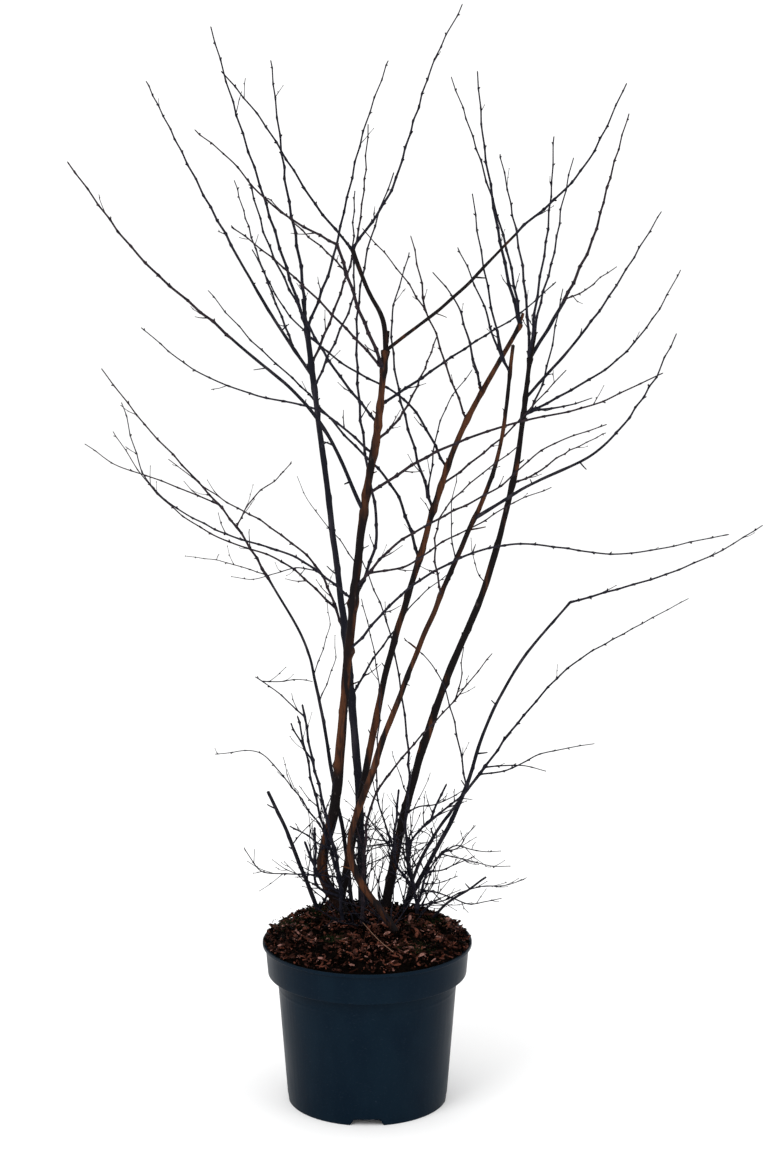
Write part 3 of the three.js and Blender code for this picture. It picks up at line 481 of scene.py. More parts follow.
# The soil shows only in the gaps between chips; its near-black colours are damp soil with painted shade.
SOIL_AND_GAP_SHADE_TINTS = ((0.004, 0.0022, 0.0015), (0.0015, 0.001, 0.001))
MOSS_TINT = (0.012, 0.019, 0.007)
STRAW_TINT = (0.20, 0.105, 0.065)
PLASTIC_TINTS = ((0.0010, 0.0060, 0.0130), (0.0020, 0.0084, 0.0162))
SCUFF_TINT = (0.009, 0.016, 0.026)
# Painted highlight, a lighter grey on the top of the lip and other faces that look up
UPWARD_HIGHLIGHT_TINT = (0.012, 0.014, 0.016)
FLOOR_TINTS = ((0.955, 0.955, 0.955), (0.945, 0.945, 0.945))

# Shares of the five tints of chips in dry places and in damp, shaded places, and where the damp, shaded
# places are. Those take mostly the near-black chips: damp bark with painted shade.
DRY_SHARES = (0.24, 0.22, 0.07, 0.21, 0.26)
DAMP_SHADED_SHARES = (0.08, 0.22, 0.01, 0.53, 0.16)
DAMP_SHADED_PLACES = {"scale": 21, "level": 0.05}

# How dark cracks and mottles are, and how far a face looks up where the painted highlight begins
CRACK_DARKNESS = 0.62
MOTTLE_DARKNESS = 0.7
UPWARD_HIGHLIGHT_FROM = 0.35

# Studio. Each lamp: name, place, size and power.
FLOOR_SIZE = 60
WORLD_STRENGTH = 1.12
LAMP_TARGET = (0, 0, 0.9)
LAMPS = [
    ("key", (-2.4, -3.0, 3.6), 2.2, 90),
    ("fill", (3.2, -2.2, 1.8), 2.0, 25),
]


# Shader effects shared by the materials

def new_node(tree, kind, inputs, **settings):
    """A node with its settings, each input linked to a socket or set to a plain value."""
    node = tree.nodes.new(kind)
    for name, value in settings.items():
        setattr(node, name, value)
    for title, value in inputs.items():
        if isinstance(value, bpy.types.NodeSocket):
            tree.links.new(value, node.inputs[title])
        else:
            node.inputs[title].default_value = value
    return node


def new_group(name, inputs, output):
    """An empty group, the sockets of its inputs and the socket that takes its output."""
    group = bpy.data.node_groups.new(name, "ShaderNodeTree")
    for title, value in inputs.items():
        socket = group.interface.new_socket(title, in_out="INPUT", socket_type="NodeSocketFloat")
        socket.default_value = value
    group.interface.new_socket(output, in_out="OUTPUT", socket_type="NodeSocketFloat")
    start = group.nodes.new("NodeGroupInput").outputs
    return group, start, group.nodes.new("NodeGroupOutput").inputs[output]


def object_place(group):
    return group.nodes.new("ShaderNodeTexCoord").outputs["Object"]


def multiplied(group, first, second, **settings):
    inputs = {0: first, 1: second}
    return new_node(group, "ShaderNodeMath", inputs, operation="MULTIPLY", **settings).outputs[0]


def stretched_place(group, stretch):
    """Object coordinates drawn out along the upright."""
    squeeze = new_node(group, "ShaderNodeMath", {0: 1, 1: stretch}, operation="DIVIDE")
    scale = new_node(group, "ShaderNodeCombineXYZ", {"X": 1, "Y": 1, "Z": squeeze.outputs[0]})
    inputs = {0: object_place(group), 1: scale.outputs[0]}
    return new_node(group, "ShaderNodeVectorMath", inputs, operation="MULTIPLY").outputs[0]


def make_patches():
    """Soft-edged patches: 1 inside a patch and 0 outside."""
    inputs = {"Scale": 60, "Stretch": 1, "Detail": 4, "Low": 0.45, "High": 0.6}
    group, start, mask = new_group("patches", inputs, "Mask")
    place = stretched_place(group, start["Stretch"])
    cloud = {"Vector": place, "Scale": start["Scale"], "Detail": start["Detail"]}
    value = new_node(group, "ShaderNodeTexNoise", cloud).outputs["Fac"]
    limits = {"Value": value, "From Min": start["Low"], "From Max": start["High"]}
    ramp = new_node(group, "ShaderNodeMapRange", limits, interpolation_type="SMOOTHSTEP")
    group.links.new(ramp.outputs["Result"], mask)
    return group


def make_fibres():
    """Height of fine uneven fibres, long ones where Stretch is large."""
    inputs = {"Scale": 900, "Stretch": 6, "Roughness": 0.65}
    group, start, height = new_group("fibres", inputs, "Height")
    place = stretched_place(group, start["Stretch"])
    grain = {"Vector": place, "Scale": start["Scale"], "Detail": 6, "Roughness": start["Roughness"]}
    group.links.new(new_node(group, "ShaderNodeTexNoise", grain).outputs["Fac"], height)
    return group


def make_upward_highlight():
    """A painted highlight: 1 on faces that look up and 0 on steep ones, broken up by a fine noise."""
    group, start, mask = new_group("painted upward highlight", {"Amount": 0.5, "Scale": 300}, "Mask")
    normal = group.nodes.new("ShaderNodeNewGeometry").outputs["Normal"]
    upward = new_node(group, "ShaderNodeSeparateXYZ", {0: normal}).outputs["Z"]
    limits = {"Value": upward, "From Min": UPWARD_HIGHLIGHT_FROM, "From Max": 1}
    facing = new_node(group, "ShaderNodeMapRange", limits).outputs["Result"]
    specks = {"Vector": object_place(group), "Scale": start["Scale"]}
    broken = multiplied(group, facing, new_node(group, "ShaderNodeTexNoise", specks).outputs["Fac"])
    group.links.new(multiplied(group, broken, start["Amount"], use_clamp=True), mask)
    return group


PATCHES = make_patches()
FIBRES = make_fibres()
UPWARD_HIGHLIGHT = make_upward_highlight()


# Materials

class Finish:
    """A material with one Principled shader, and short ways to build its nodes."""

    def __init__(self, name, roughness, specular):
        self.material = bpy.data.materials.new(name)
        self.material.use_nodes = True
        self.tree = self.material.node_tree
        self.inputs = self.tree.nodes["Principled BSDF"].inputs
        self.inputs["Roughness"].default_value = roughness
        self.inputs["Specular IOR Level"].default_value = specular

    def effect(self, group, **values):
        return new_node(self.tree, "ShaderNodeGroup", values, node_tree=group).outputs[0]

    def mixed(self, mask, first, second):
        """The first colour where the mask is 0 and the second where it is 1."""
        inputs = {"Factor": mask}
        for title, colour in (("A", first), ("B", second)):
            inputs[title] = (*colour, 1) if isinstance(colour, tuple) else colour
        return new_node(self.tree, "ShaderNodeMix", inputs, data_type="RGBA").outputs["Result"]

    def colour(self, socket):
        self.tree.links.new(socket, self.inputs["Base Color"])

    def roughness_between(self, mask, low, high):
        inputs = {"Value": mask, "To Min": low, "To Max": high}
        node = new_node(self.tree, "ShaderNodeMapRange", inputs)
        self.tree.links.new(node.outputs["Result"], self.inputs["Roughness"])

    def bump(self, height, strength, distance):
        """A bump on top of the ones that the material has."""
        inputs = {"Strength": strength, "Distance": distance, "Height": height}
        for link in self.inputs["Normal"].links:
            inputs["Normal"] = link.from_socket
        node = new_node(self.tree, "ShaderNodeBump", inputs)
        self.tree.links.new(node.outputs["Normal"], self.inputs["Normal"])


def blended(light, dark):
    """The colour of cracks, between two others."""
    return tuple(a + (b - a) * CRACK_DARKNESS for a, b in zip(light, dark))


def bark_finish(name, light, dark, grey, cover):
    finish = Finish(name, roughness=0.8, specular=0.05)
    patches = finish.effect(PATCHES, Scale=62, Stretch=11, Detail=5, Low=0.54 - cover, High=0.70 - cover)
    aged = finish.effect(PATCHES, Scale=12, Stretch=2.2, Detail=1, Low=0.49, High=0.60)
    cracks = finish.effect(PATCHES, Scale=330, Stretch=16, Detail=4, Low=0.47, High=0.66)
    lichen = finish.effect(PATCHES, Scale=120, Stretch=2.4, Detail=4, Low=0.63, High=0.76)
    streaks = finish.effect(FIBRES, Scale=420, Stretch=9, Roughness=0.7)
    skin = finish.mixed(patches, finish.mixed(cracks, light, blended(light, dark)), dark)
    skin = finish.mixed(aged, skin, dark)
    finish.colour(finish.mixed(lichen, skin, grey))
    finish.roughness_between(streaks, low=0.62, high=0.95)
    finish.bump(streaks, strength=0.7, distance=0.0009)
    finish.bump(patches, strength=0.35, distance=0.0006)
    finish.bump(cracks, strength=0.5, distance=0.0005)
    return finish.material


def twig_finish(name, light, dark):
    finish = Finish(name, roughness=0.6, specular=0.05)
    patches = finish.effect(PATCHES, Scale=160, Stretch=1.5, Detail=3, Low=0.4, High=0.62)
    skin = finish.effect(FIBRES, Scale=1400, Stretch=3, Roughness=0.6)
    finish.colour(finish.mixed(patches, light, dark))
    finish.roughness_between(skin, low=0.5, high=0.8)
    finish.bump(skin, strength=0.4, distance=0.0003)
    return finish.material


def chip_finish(name, light, dark, shine):
    finish = Finish(name, roughness=0.5, specular=shine)
    patches = finish.effect(PATCHES, Scale=150, Stretch=1, Detail=5, Low=0.38, High=0.66)
    grain = finish.effect(FIBRES, Scale=1100, Stretch=1, Roughness=0.7)
    finish.colour(finish.mixed(patches, light, dark))
    finish.roughness_between(grain, low=0.4, high=0.8)
    finish.bump(grain, strength=0.8, distance=0.0007)
    return finish.material


def soil_finish():
    finish = Finish("damp soil", roughness=0.9, specular=0.02)
    clods = finish.effect(PATCHES, Scale=90, Stretch=1, Detail=6, Low=0.35, High=0.65)
    crumbs = finish.effect(FIBRES, Scale=700, Stretch=1, Roughness=0.75)
    # Near-black soil: damp soil with painted shade in the gaps between chips.
    finish.colour(finish.mixed(clods, *SOIL_AND_GAP_SHADE_TINTS))
    finish.bump(crumbs, strength=1, distance=0.002)
    return finish.material


def pot_finish():
    finish = Finish("dark blue plastic", roughness=0.38, specular=0.043)
    cloud = finish.effect(PATCHES, Scale=16, Stretch=2.2, Detail=5, Low=0.35, High=0.7)
    # Painted highlight on the faces that look up
    upward_highlight = finish.effect(UPWARD_HIGHLIGHT, Amount=0.55, Scale=260)
    scuffs = finish.effect(PATCHES, Scale=210, Stretch=0.25, Detail=7, Low=0.62, High=0.70)
    flow = finish.effect(FIBRES, Scale=130, Stretch=30, Roughness=0.45)
    scuffed = finish.mixed(scuffs, finish.mixed(cloud, *PLASTIC_TINTS), SCUFF_TINT)
    finish.colour(finish.mixed(upward_highlight, scuffed, UPWARD_HIGHLIGHT_TINT))
    finish.roughness_between(cloud, low=0.32, high=0.44)
    finish.bump(flow, strength=0.3, distance=0.0007)
    return finish.material


def plain_finish(name, colour, roughness, specular):
    finish = Finish(name, roughness, specular)
    mottle = finish.effect(PATCHES, Scale=240, Stretch=1, Detail=3, Low=0.3, High=0.7)
    finish.colour(finish.mixed(mottle, colour, tuple(MOTTLE_DARKNESS * part for part in colour)))
    finish.bump(mottle, strength=0.2, distance=0.0003)
    return finish.material


# Meshes

class Skin:
    """Vertices and faces gathered for one piece."""

    def __init__(self):
        self.vertices = []
        self.quads = []
        self.triangles = []
        self.count = 0

    def add(self, vertices, quads=(), triangles=()):
        self.vertices.append(np.asarray(vertices, float).reshape(-1, 3))
        for faces, store, corners in ((quads, self.quads, 4), (triangles, self.triangles, 3)):
            if len(faces):
                store.append(np.asarray(faces, int).reshape(-1, corners) + self.count)
        self.count += len(self.vertices[-1])

    def add_rings(self, rings, ends):
        """A closed skin over rings of corners, with a middle point beyond either end."""
        rings = np.asarray(rings)
        self.add(np.vstack([rings.reshape(-1, 3), ends]), *closed_faces(*rings.shape[:2]))

    def piece(self, name, material, smooth=True):
        mesh = bpy.data.meshes.new(name)
        faces = [face for block in self.quads + self.triangles for face in block.tolist()]
        mesh.from_pydata(np.vstack(self.vertices).tolist(), [], faces)
        mesh.polygons.foreach_set("use_smooth", [smooth] * len(faces))
        mesh.materials.append(material)
        made = placed(name, mesh)
        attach(made, "root")
        return made


def placed(name, data):
    """A new object of the scene that holds a mesh, a camera or a lamp."""
    made = bpy.data.objects.new(name, data)
    bpy.context.scene.collection.objects.link(made)
    return made


def unit(vectors):
    vectors = np.asarray(vectors, float)
    return vectors / np.linalg.norm(vectors, axis=-1, keepdims=True)


def tube_faces(rings, sides):
    ring, side = np.meshgrid(np.arange(rings - 1), np.arange(sides), indexing="ij")
    here = ring * sides + side
    beside = ring * sides + (side + 1) % sides
    return np.stack([here, beside, beside + sides, here + sides], axis=-1).reshape(-1, 4)


def closed_faces(rings, sides):
    """Quads between the rings, and a fan at either end round the point that closes it."""
    turn = np.arange(sides)
    follow = (turn + 1) % sides
    first = rings * sides
    last = first - sides
    fans = [
        np.stack([np.full(sides, first), follow, turn], axis=-1),
        np.stack([np.full(sides, first + 1), last + turn, last + follow], axis=-1),
    ]
    return tube_faces(rings, sides), np.vstack(fans)


def around(sides):
    """Angles of the corners of a ring."""
    return np.arange(sides) * 2 * math.pi / sides


def add_tube(skin, centres, radii, sides, relief=1, bulge=BULGE["limb"]):
    """A closed tube round a line of centres. Relief scales the radius at each corner."""
    centres = np.asarray(centres, float)
    along = unit(np.gradient(centres, axis=0))
    chord = unit(centres[-1] - centres[0])
    reference = np.eye(3)[np.argmin(np.abs(chord))]
    side = unit(reference - along * (along @ reference)[:, None])
    across = np.cross(along, side)
    angle = around(sides)[:, None]
    spread = np.broadcast_to(np.asarray(radii)[:, None] * relief, (len(centres), sides))
    ring = np.cos(angle) * side[:, None, :] + np.sin(angle) * across[:, None, :]
    start = centres[0] - along[0] * radii[0] * BULGE["root"]
    end = centres[-1] + along[-1] * radii[-1] * bulge
    skin.add_rings(centres[:, None, :] + spread[:, :, None] * ring, [start, end])


# Limbs

def spline(knots, share):
    """Points of the centripetal spline through the knots."""
    ends = np.vstack([2 * knots[0] - knots[1], knots, 2 * knots[-1] - knots[-2]])
    place = np.clip(share, 0, 1) * (len(knots) - 1)
    span = np.minimum(place.astype(int), len(knots) - 2)
    weight = (place - span)[:, None]
    a, b, c, d = (ends[span + i] for i in range(4))
    ab, bc, cd = (np.linalg.norm(q - p, axis=1)[:, None] ** 0.5 for p, q in ((a, b), (b, c), (c, d)))
    leaving = ((b - a) / ab - (c - a) / (ab + bc) + (c - b) / bc) * bc
    arriving = ((c - b) / bc - (d - b) / (bc + cd) + (d - c) / cd) * bc
    square = 3 * (c - b) - 2 * leaving - arriving
    cube = 2 * (b - c) + leaving + arriving
    return b + leaving * weight + square * weight**2 + cube * weight**3


class Limb:
    """A smooth line through a few knots, which tapers evenly along its length."""

    DIVISIONS = 200
    NUDGE = 0.0001

    def __init__(self, name, knots, thick, on_ground=False):
        self.name = name
        self.knots = np.asarray(knots, float)
        self.thick = thick
        self.on_ground = on_ground
        self.table = np.linspace(0, 1, self.DIVISIONS + 1)
        steps = np.diff(spline(self.knots, self.table), axis=0)
        self.lengths = np.concatenate([[0], np.cumsum(np.linalg.norm(steps, axis=1))])
        self.reach = self.lengths[-1]

    def share_of_knots(self, share):
        return np.interp(np.clip(share, 0, 1) * self.reach, self.lengths, self.table)

    def points(self, share):
        return spline(self.knots, self.share_of_knots(np.asarray(share, float)))

    def tangents(self, share):
        place = self.share_of_knots(np.asarray(share, float))
        after = spline(self.knots, np.minimum(place + self.NUDGE, 1))
        return unit(after - spline(self.knots, np.maximum(place - self.NUDGE, 0)))

    def radii(self, share, swell=FLARE["swell"]):
        """Radii along the limb, wider by the swell at the foot of one that stands on the soil."""
        share = np.asarray(share, float)
        even = (self.thick[0] + (self.thick[1] - self.thick[0]) * share) / 2
        if not self.on_ground:
            return even
        return even * (1 + swell * np.exp(-share * self.reach / FLARE["reach"]))

    def drawn_radii(self, share):
        return self.radii(share, FLARE["drawn_swell"])

    def point(self, share):
        return self.points([share])[0]

    def tangent(self, share):
        return self.tangents([share])[0]

    def radius(self, share):
        return float(self.radii(share))


def bowed(start, tip, bow):
    """Knots from start to tip, set off to the left of the straight line by each bow."""
    start, tip = np.asarray(start, float), np.asarray(tip, float)
    along = tip - start
    left = unit([-along[2], 0, along[0]])
    shares = [(i + 1) / (len(bow) + 1) for i in range(len(bow))]
    knots = [start + along * share + left * offset for share, offset in zip(shares, bow)]
    return [start, *knots, tip]


def ground_limb(row):
    name, foot, heel, tip, bow, thick = row
    start = np.array([*foot, GROUND + GAP])
    knots = [start, *bowed(heel, tip, bow)] if heel else bowed(start, tip, bow)
    return Limb(name, knots, thick, on_ground=True)


def side_limb(row, limbs):
    name, parent, share, tip, bow, thick, *_ = row
    return Limb(name, bowed(limbs[parent].point(share), tip, bow), thick)


class Stretch:
    """The part of a limb that one node holds, and how it is drawn."""

    def __init__(self, node, limb, start, end, kind):
        self.node = node
        self.limb = limb
        self.start = start
        self.end = end
        self.kind = kind

    def length(self):
        return (self.end - self.start) * self.limb.reach

    def share_at(self, place):
        """The limb's share at a length from the stretch's start."""
        return self.start + (self.end - self.start) * place / self.length()


# The twigs of the part's source

def seeded_random(seed):
    """The source's own random numbers, so that each twig stands where its solid does."""
    state = [seed]
    word = 0xFFFFFFFF

    def between(low=0.0, high=1.0):
        state[0] = (state[0] + 0x6D2B79F5) & word
        mixed = ((state[0] ^ (state[0] >> 15)) * (1 | state[0])) & word
        mixed = ((mixed + ((mixed ^ (mixed >> 7)) * (61 | mixed))) & word) ^ mixed
        return low + (high - low) * ((mixed ^ (mixed >> 14)) & word) / 4294967296

    return between


def lay_out_wood():
    limbs, stretches = {}, []

    def place(limb, node, start, end, kind):
        limbs[limb.name] = limb
        stretches.append(Stretch(node, limb, start, end, kind))

    for row in STEMS:
        place(ground_limb(row), row[0], 0, 1, "stem")
    for row in BOUGHS:
        limb, wood = side_limb(row, limbs), row[-1]
        place(limb, limb.name, 0, wood, "bough")
        if wood < 1:
            place(limb, limb.name.replace("bough", "twigs"), wood + GAP / limb.reach, 1, "whip")
    for row in FOOT_SHOOTS:
        place(ground_limb(row), row[0], 0, 1, "whip")
    for row in WHIPS + FOOT_WHIPS:
        place(side_limb(row, limbs), row[0].split(" ")[0], 0, 1, "whip")
    return limbs, stretches


def samples(stretch, start=None):
    """Points along a stretch of wood with their radii, for the clearance tests."""
    start = stretch.start if start is None else start
    count = max(2, math.ceil((stretch.end - start) * stretch.limb.reach / SIDE_TWIG["sample_step"]))
    share = np.minimum(start + (stretch.end - start) * np.arange(count + 1) / count, 1)
    return stretch.limb.points(share), stretch.limb.radii(share)


class Taken:
    """The space that wood already takes."""

    def __init__(self):
        self.points = np.zeros((0, 3))
        self.radii = np.zeros(0)
        self.nodes = np.zeros(0, int)
        self.numbers = {}

    def add(self, node, points, radii):
        number = self.numbers.setdefault(node, len(self.numbers))
        self.points = np.vstack([self.points, points])
        self.radii = np.concatenate([self.radii, radii])
        self.nodes = np.concatenate([self.nodes, np.full(len(points), number)])

    def meets(self, points, radii, clearance, node, own):
        chosen = (self.nodes == self.numbers[node]) == own
        apart = np.linalg.norm(points[:, None, :] - self.points[chosen][None, :, :], axis=2)
        needed = radii[:, None] + self.radii[chosen][None, :] + clearance
        return bool((apart < needed).any())


def is_clear(twig, whip, taken):
    """Clear of the ground, of other nodes' wood and, past its root, of its own mass."""
    clearance = SIDE_TWIG["clearance"]
    points, radii = samples(twig)
    if (points[:, 2] < GROUND + clearance).any():
        return False
    if taken.meets(points, radii, clearance, twig.node, own=False):
        return False
    root = SIDE_TWIG["root_widths"] * whip.limb.thick[0] / twig.limb.reach
    points, radii = samples(twig, start=min(SIDE_TWIG["longest_root"], root))
    return not taken.meets(points, radii, clearance, twig.node, own=True)


def sideways(along, turn, reference=(0, 1, 0)):
    """A direction square to a line, turned round it from one that is square to the reference too."""
    start = unit(np.cross(reference, along))
    turned = start * math.cos(turn) + np.cross(along, start) * math.sin(turn)
    return turned + along * (along @ start) * (1 - math.cos(turn))


def slanted(along, aside, slant):
    """A direction that leaves the line to one side at a slant."""
    return along * math.cos(slant) + aside * math.sin(slant)


def habit_at(whip, share):
    in_thicket = whip.node.startswith("twigs_foot") and whip.limb.point(share)[2] < THICKET_TOP
    return THICKET_HABIT if in_thicket else CROWN_HABIT


def side_twig(whip, share, turn, habit, between):
    """One side twig: it leaves its whip at a slant and then lifts toward the light."""
    along = whip.limb.tangent(share)
    heading = slanted(along, sideways(along, turn), between(*SIDE_TWIG["slant"]))
    rest = (1 - share) * whip.limb.reach * SIDE_TWIG["share_of_rest"]
    length = min(between(*habit["length"]), rest)
    root = whip.limb.point(share)
    tip = root + heading * length
    tip[2] += length * SIDE_TWIG["lift"]
    thick = min(SIDE_TWIG["thickest"], 2 * whip.limb.radius(share) * SIDE_TWIG["thick_share"])
    knots = [root, root + heading * length / 2, tip]
    limb = Limb(whip.node, knots, (thick, SIDE_TWIG["tip_thick"]))
    return Stretch(whip.node, limb, 0, 1, "twig")


def grow_side_twigs(stretches):
    between = seeded_random(SEED)
    taken = Taken()
    for stretch in stretches:
        taken.add(stretch.node, *samples(stretch))
    twigs = []
    for whip in [stretch for stretch in stretches if stretch.kind == "whip"]:
        turn = between(0, 2 * math.pi)
        share = whip.start + (1 - whip.start) * SIDE_TWIG["first_share"]
        while share < SIDE_TWIG["last_share"]:
            turn += math.pi * between(*SIDE_TWIG["half_turns"])
            habit = habit_at(whip, share)
            twig = side_twig(whip, share, turn, habit, between)
            share += between(*habit["spacing"]) / whip.limb.reach
            if is_clear(twig, whip, taken):
                taken.add(twig.node, *samples(twig))
                twigs.append(twig)
    return twigs


# Dressed wood

def lengthwise_noise(lump, count, waves):
    """Smooth random values from -1 to 1 along a limb, with about so many waves over its length."""
    knots = np.array([lump.uniform(-1, 1) for _ in range(max(2, int(waves) + 1) + 1)])
    place = np.linspace(0, len(knots) - 1, count)
    cell = np.minimum(place.astype(int), len(knots) - 2)
    blend = place - cell
    blend = blend * blend * (3 - 2 * blend)
    return knots[cell] * (1 - blend) + knots[cell + 1] * blend


def bark_relief(lump, count, sides, length):
    """Lobes and ridges that wander round the limb, as a share of its radius."""
    relief = np.ones((count, sides))
    for lobes, height, wave in BARK_WAVES:
        phase = lengthwise_noise(lump, count, length / wave)[:, None] * BARK_RELIEF["drift"]
        relief += height * np.cos(lobes * around(sides) + phase + lump.uniform(*BARK_RELIEF["turn"]))
    swell = lengthwise_noise(lump, count, length / BARK_RELIEF["swell_length"])[:, None]
    return relief + BARK_RELIEF["swell"] * swell


def add_knots(relief, share, length, lump):
    """Low rounded knots on one side of the limb."""
    angle = around(relief.shape[1])
    place = lump.uniform(*KNOT["spacing"])
    while place < length:
        width = lump.uniform(*KNOT["width"])
        turn = lump.uniform(0, 2 * math.pi)
        away = (share[:, None] * length - place) / width
        round_limb = 1 - np.cos(angle - turn)
        relief += lump.uniform(*KNOT["height"]) * np.exp(-away**2 - KNOT["roundness"] * round_limb)
        place += lump.uniform(*KNOT["spacing"])
    return relief


def add_collars(relief, share, length, forks):
    """A swollen collar where another limb leaves."""
    for fork in forks:
        away = (share - fork) * length / COLLAR["reach"]
        relief += COLLAR["swell"] * np.exp(-away**2)[:, None]
    return relief


def drawn_shares(stretch, shares):
    """Shares at which rings are drawn. Wood that stands on the soil has its first ring twice."""
    from_soil = stretch.limb.on_ground and stretch.start == 0
    return np.concatenate([shares[:1], shares]) if from_soil else shares


def sunk(stretch, centres):
    """The line of centres, its first point run on down into the soil."""
    if stretch.limb.on_ground and stretch.start == 0:
        centres[0] -= stretch.limb.tangent(0) * FLARE["sink"]
    return centres


def wandering(centres, lump, length):
    """The line of centres with a small smooth sideways wander, held at its ends."""
    count = len(centres)
    waves = length / BARK_RELIEF["wander_length"]
    hold = np.sin(np.linspace(0, math.pi, count))
    for axis in range(3):
        centres[:, axis] += BARK_RELIEF["wander"] * hold * lengthwise_noise(lump, count, waves)
    return centres


def upper_extra(stretch, centres):
    """How much wider the radius of a bough or whip is drawn at each height."""
    if stretch.kind not in ("bough", "whip"):
        return 0
    rise = (centres[:, 2] - UPPER_WOOD["from"]) / (UPPER_WOOD["full"] - UPPER_WOOD["from"])
    return UPPER_WOOD["extra"] * np.clip(rise, 0, 1)


def add_bark_limb(skin, stretch, draw, forks, lump):
    length = stretch.length()
    count = max(draw["fewest"], int(length / draw["step"]))
    share = drawn_shares(stretch, np.linspace(stretch.start, stretch.end, count))
    centres = wandering(stretch.limb.points(share), lump, length)
    relief = bark_relief(lump, len(share), draw["sides"], length)
    relief = add_knots(relief, share, length, lump)
    relief = add_collars(relief, share, stretch.limb.reach, forks)
    radii = stretch.limb.drawn_radii(share) + upper_extra(stretch, centres)
    add_tube(skin, sunk(stretch, centres), radii, draw["sides"], relief)


def add_snags(skin, stretch, lump):
    """Short snags of broken twigs that stand out from a stem."""
    steps = np.linspace(0, 1, SNAG["rings"])
    place = lump.uniform(*SNAG["spacing"])
    while place < stretch.length() * SNAG["last_share"]:
        share = stretch.share_at(place)
        along = stretch.limb.tangent(share)
        aside = sideways(along, lump.uniform(0, 2 * math.pi))
        heading = unit(along * lump.uniform(*SNAG["lean"]) + aside)
        inset = stretch.limb.radius(share) * SNAG["inset"]
        root = stretch.limb.point(share) + aside * inset
        reach = lump.uniform(*SNAG["length"]) + inset
        thick = lump.uniform(*SNAG["thick"]) / 2
        bend = np.array([lump.uniform(-1, 1) for _ in range(3)]) * SNAG["bend"] * reach
        centres = root + heading * reach * steps[:, None] + bend * (steps**2)[:, None]
        add_tube(skin, centres, thick * (SNAG["root"] - SNAG["taper"] * steps), SNAG["sides"])
        place += lump.uniform(*SNAG["spacing"])


def add_cut_end(skin, limb, tip, thick, lump):
    """The knotty stub that a pruning cut leaves above a fork."""
    steps = np.linspace(0, 1, CUT_END["rings"])
    sides = CUT_END["sides"]
    start = limb.point(1) - limb.tangent(1) * CUT_END["sink"]
    centres = start + (np.asarray(tip) - start) * steps[:, None]
    radii = (thick[0] + (thick[1] - thick[0]) * steps) / 2
    relief = np.array([[1 + CUT_END["roughness"] * lump.uniform(-1, 1) for _ in range(sides)] for _ in steps])
    add_tube(skin, centres, radii, sides, relief, BULGE["cut"])


def joint_places(stretch, lump):
    """Shares of a whip where it carries its buds."""
    places = []
    place = lump.uniform(*JOINT["first"]) * JOINT["spacing"][0]
    while place < stretch.length() - JOINT["last_gap"]:
        places.append(stretch.share_at(place))
        place += lump.uniform(*JOINT["spacing"])
    return places


def add_bud(skin, root, heading, aside, twig_radius, lump):
    """A pointed bud that grows from the root along its heading, smaller on a thin twig."""
    across = unit(np.cross(heading, aside))
    scale = min(1, max(BUD["smallest"], twig_radius / BUD["full_radius"]))
    outward = np.cross(across, heading)
    length = lump.uniform(*BUD["length"]) * scale
    width = lump.uniform(*BUD["width"]) * scale
    angle = around(BUD["sides"])[:, None]
    ring = np.cos(angle) * across + np.sin(angle) * outward
    rings = [root + heading * length * share + ring * width * size for share, size in BUD_PROFILE]
    last = (len(BUD_PROFILE) - 1) * BUD["sides"]
    turn = np.arange(BUD["sides"])
    tip = np.full(BUD["sides"], last + BUD["sides"])
    caps = np.stack([tip, last + turn, last + (turn + 1) % BUD["sides"]], axis=-1)
    corners = np.vstack([*rings, [root + heading * length]])
    skin.add(corners, tube_faces(len(BUD_PROFILE), BUD["sides"]), caps)


def fork_swell(stretch, share, forks):
    """How much wider a whip is where it leaves its limb and where others leave it."""
    places = [stretch.start, *forks] if stretch.start == 0 else forks
    wider = np.ones(len(share))
    for place in places:
        wider += FORK["swell"] * np.exp(-((share - place) * stretch.limb.reach / FORK["reach"]) ** 2)
    return wider


def draw_kinks(places, lump):
    """How far the line is set off at each joint, to one side and the other by turns."""
    kinks = [np.zeros(3)]
    for number in range(len(places)):
        size = lump.uniform(*JOINT["kink"]) * (1 if number % 2 else -1)
        kinks.append(np.array([lump.uniform(*sway) for sway in KINK_SWAY]) * size)
    return [*kinks, np.zeros(3)]


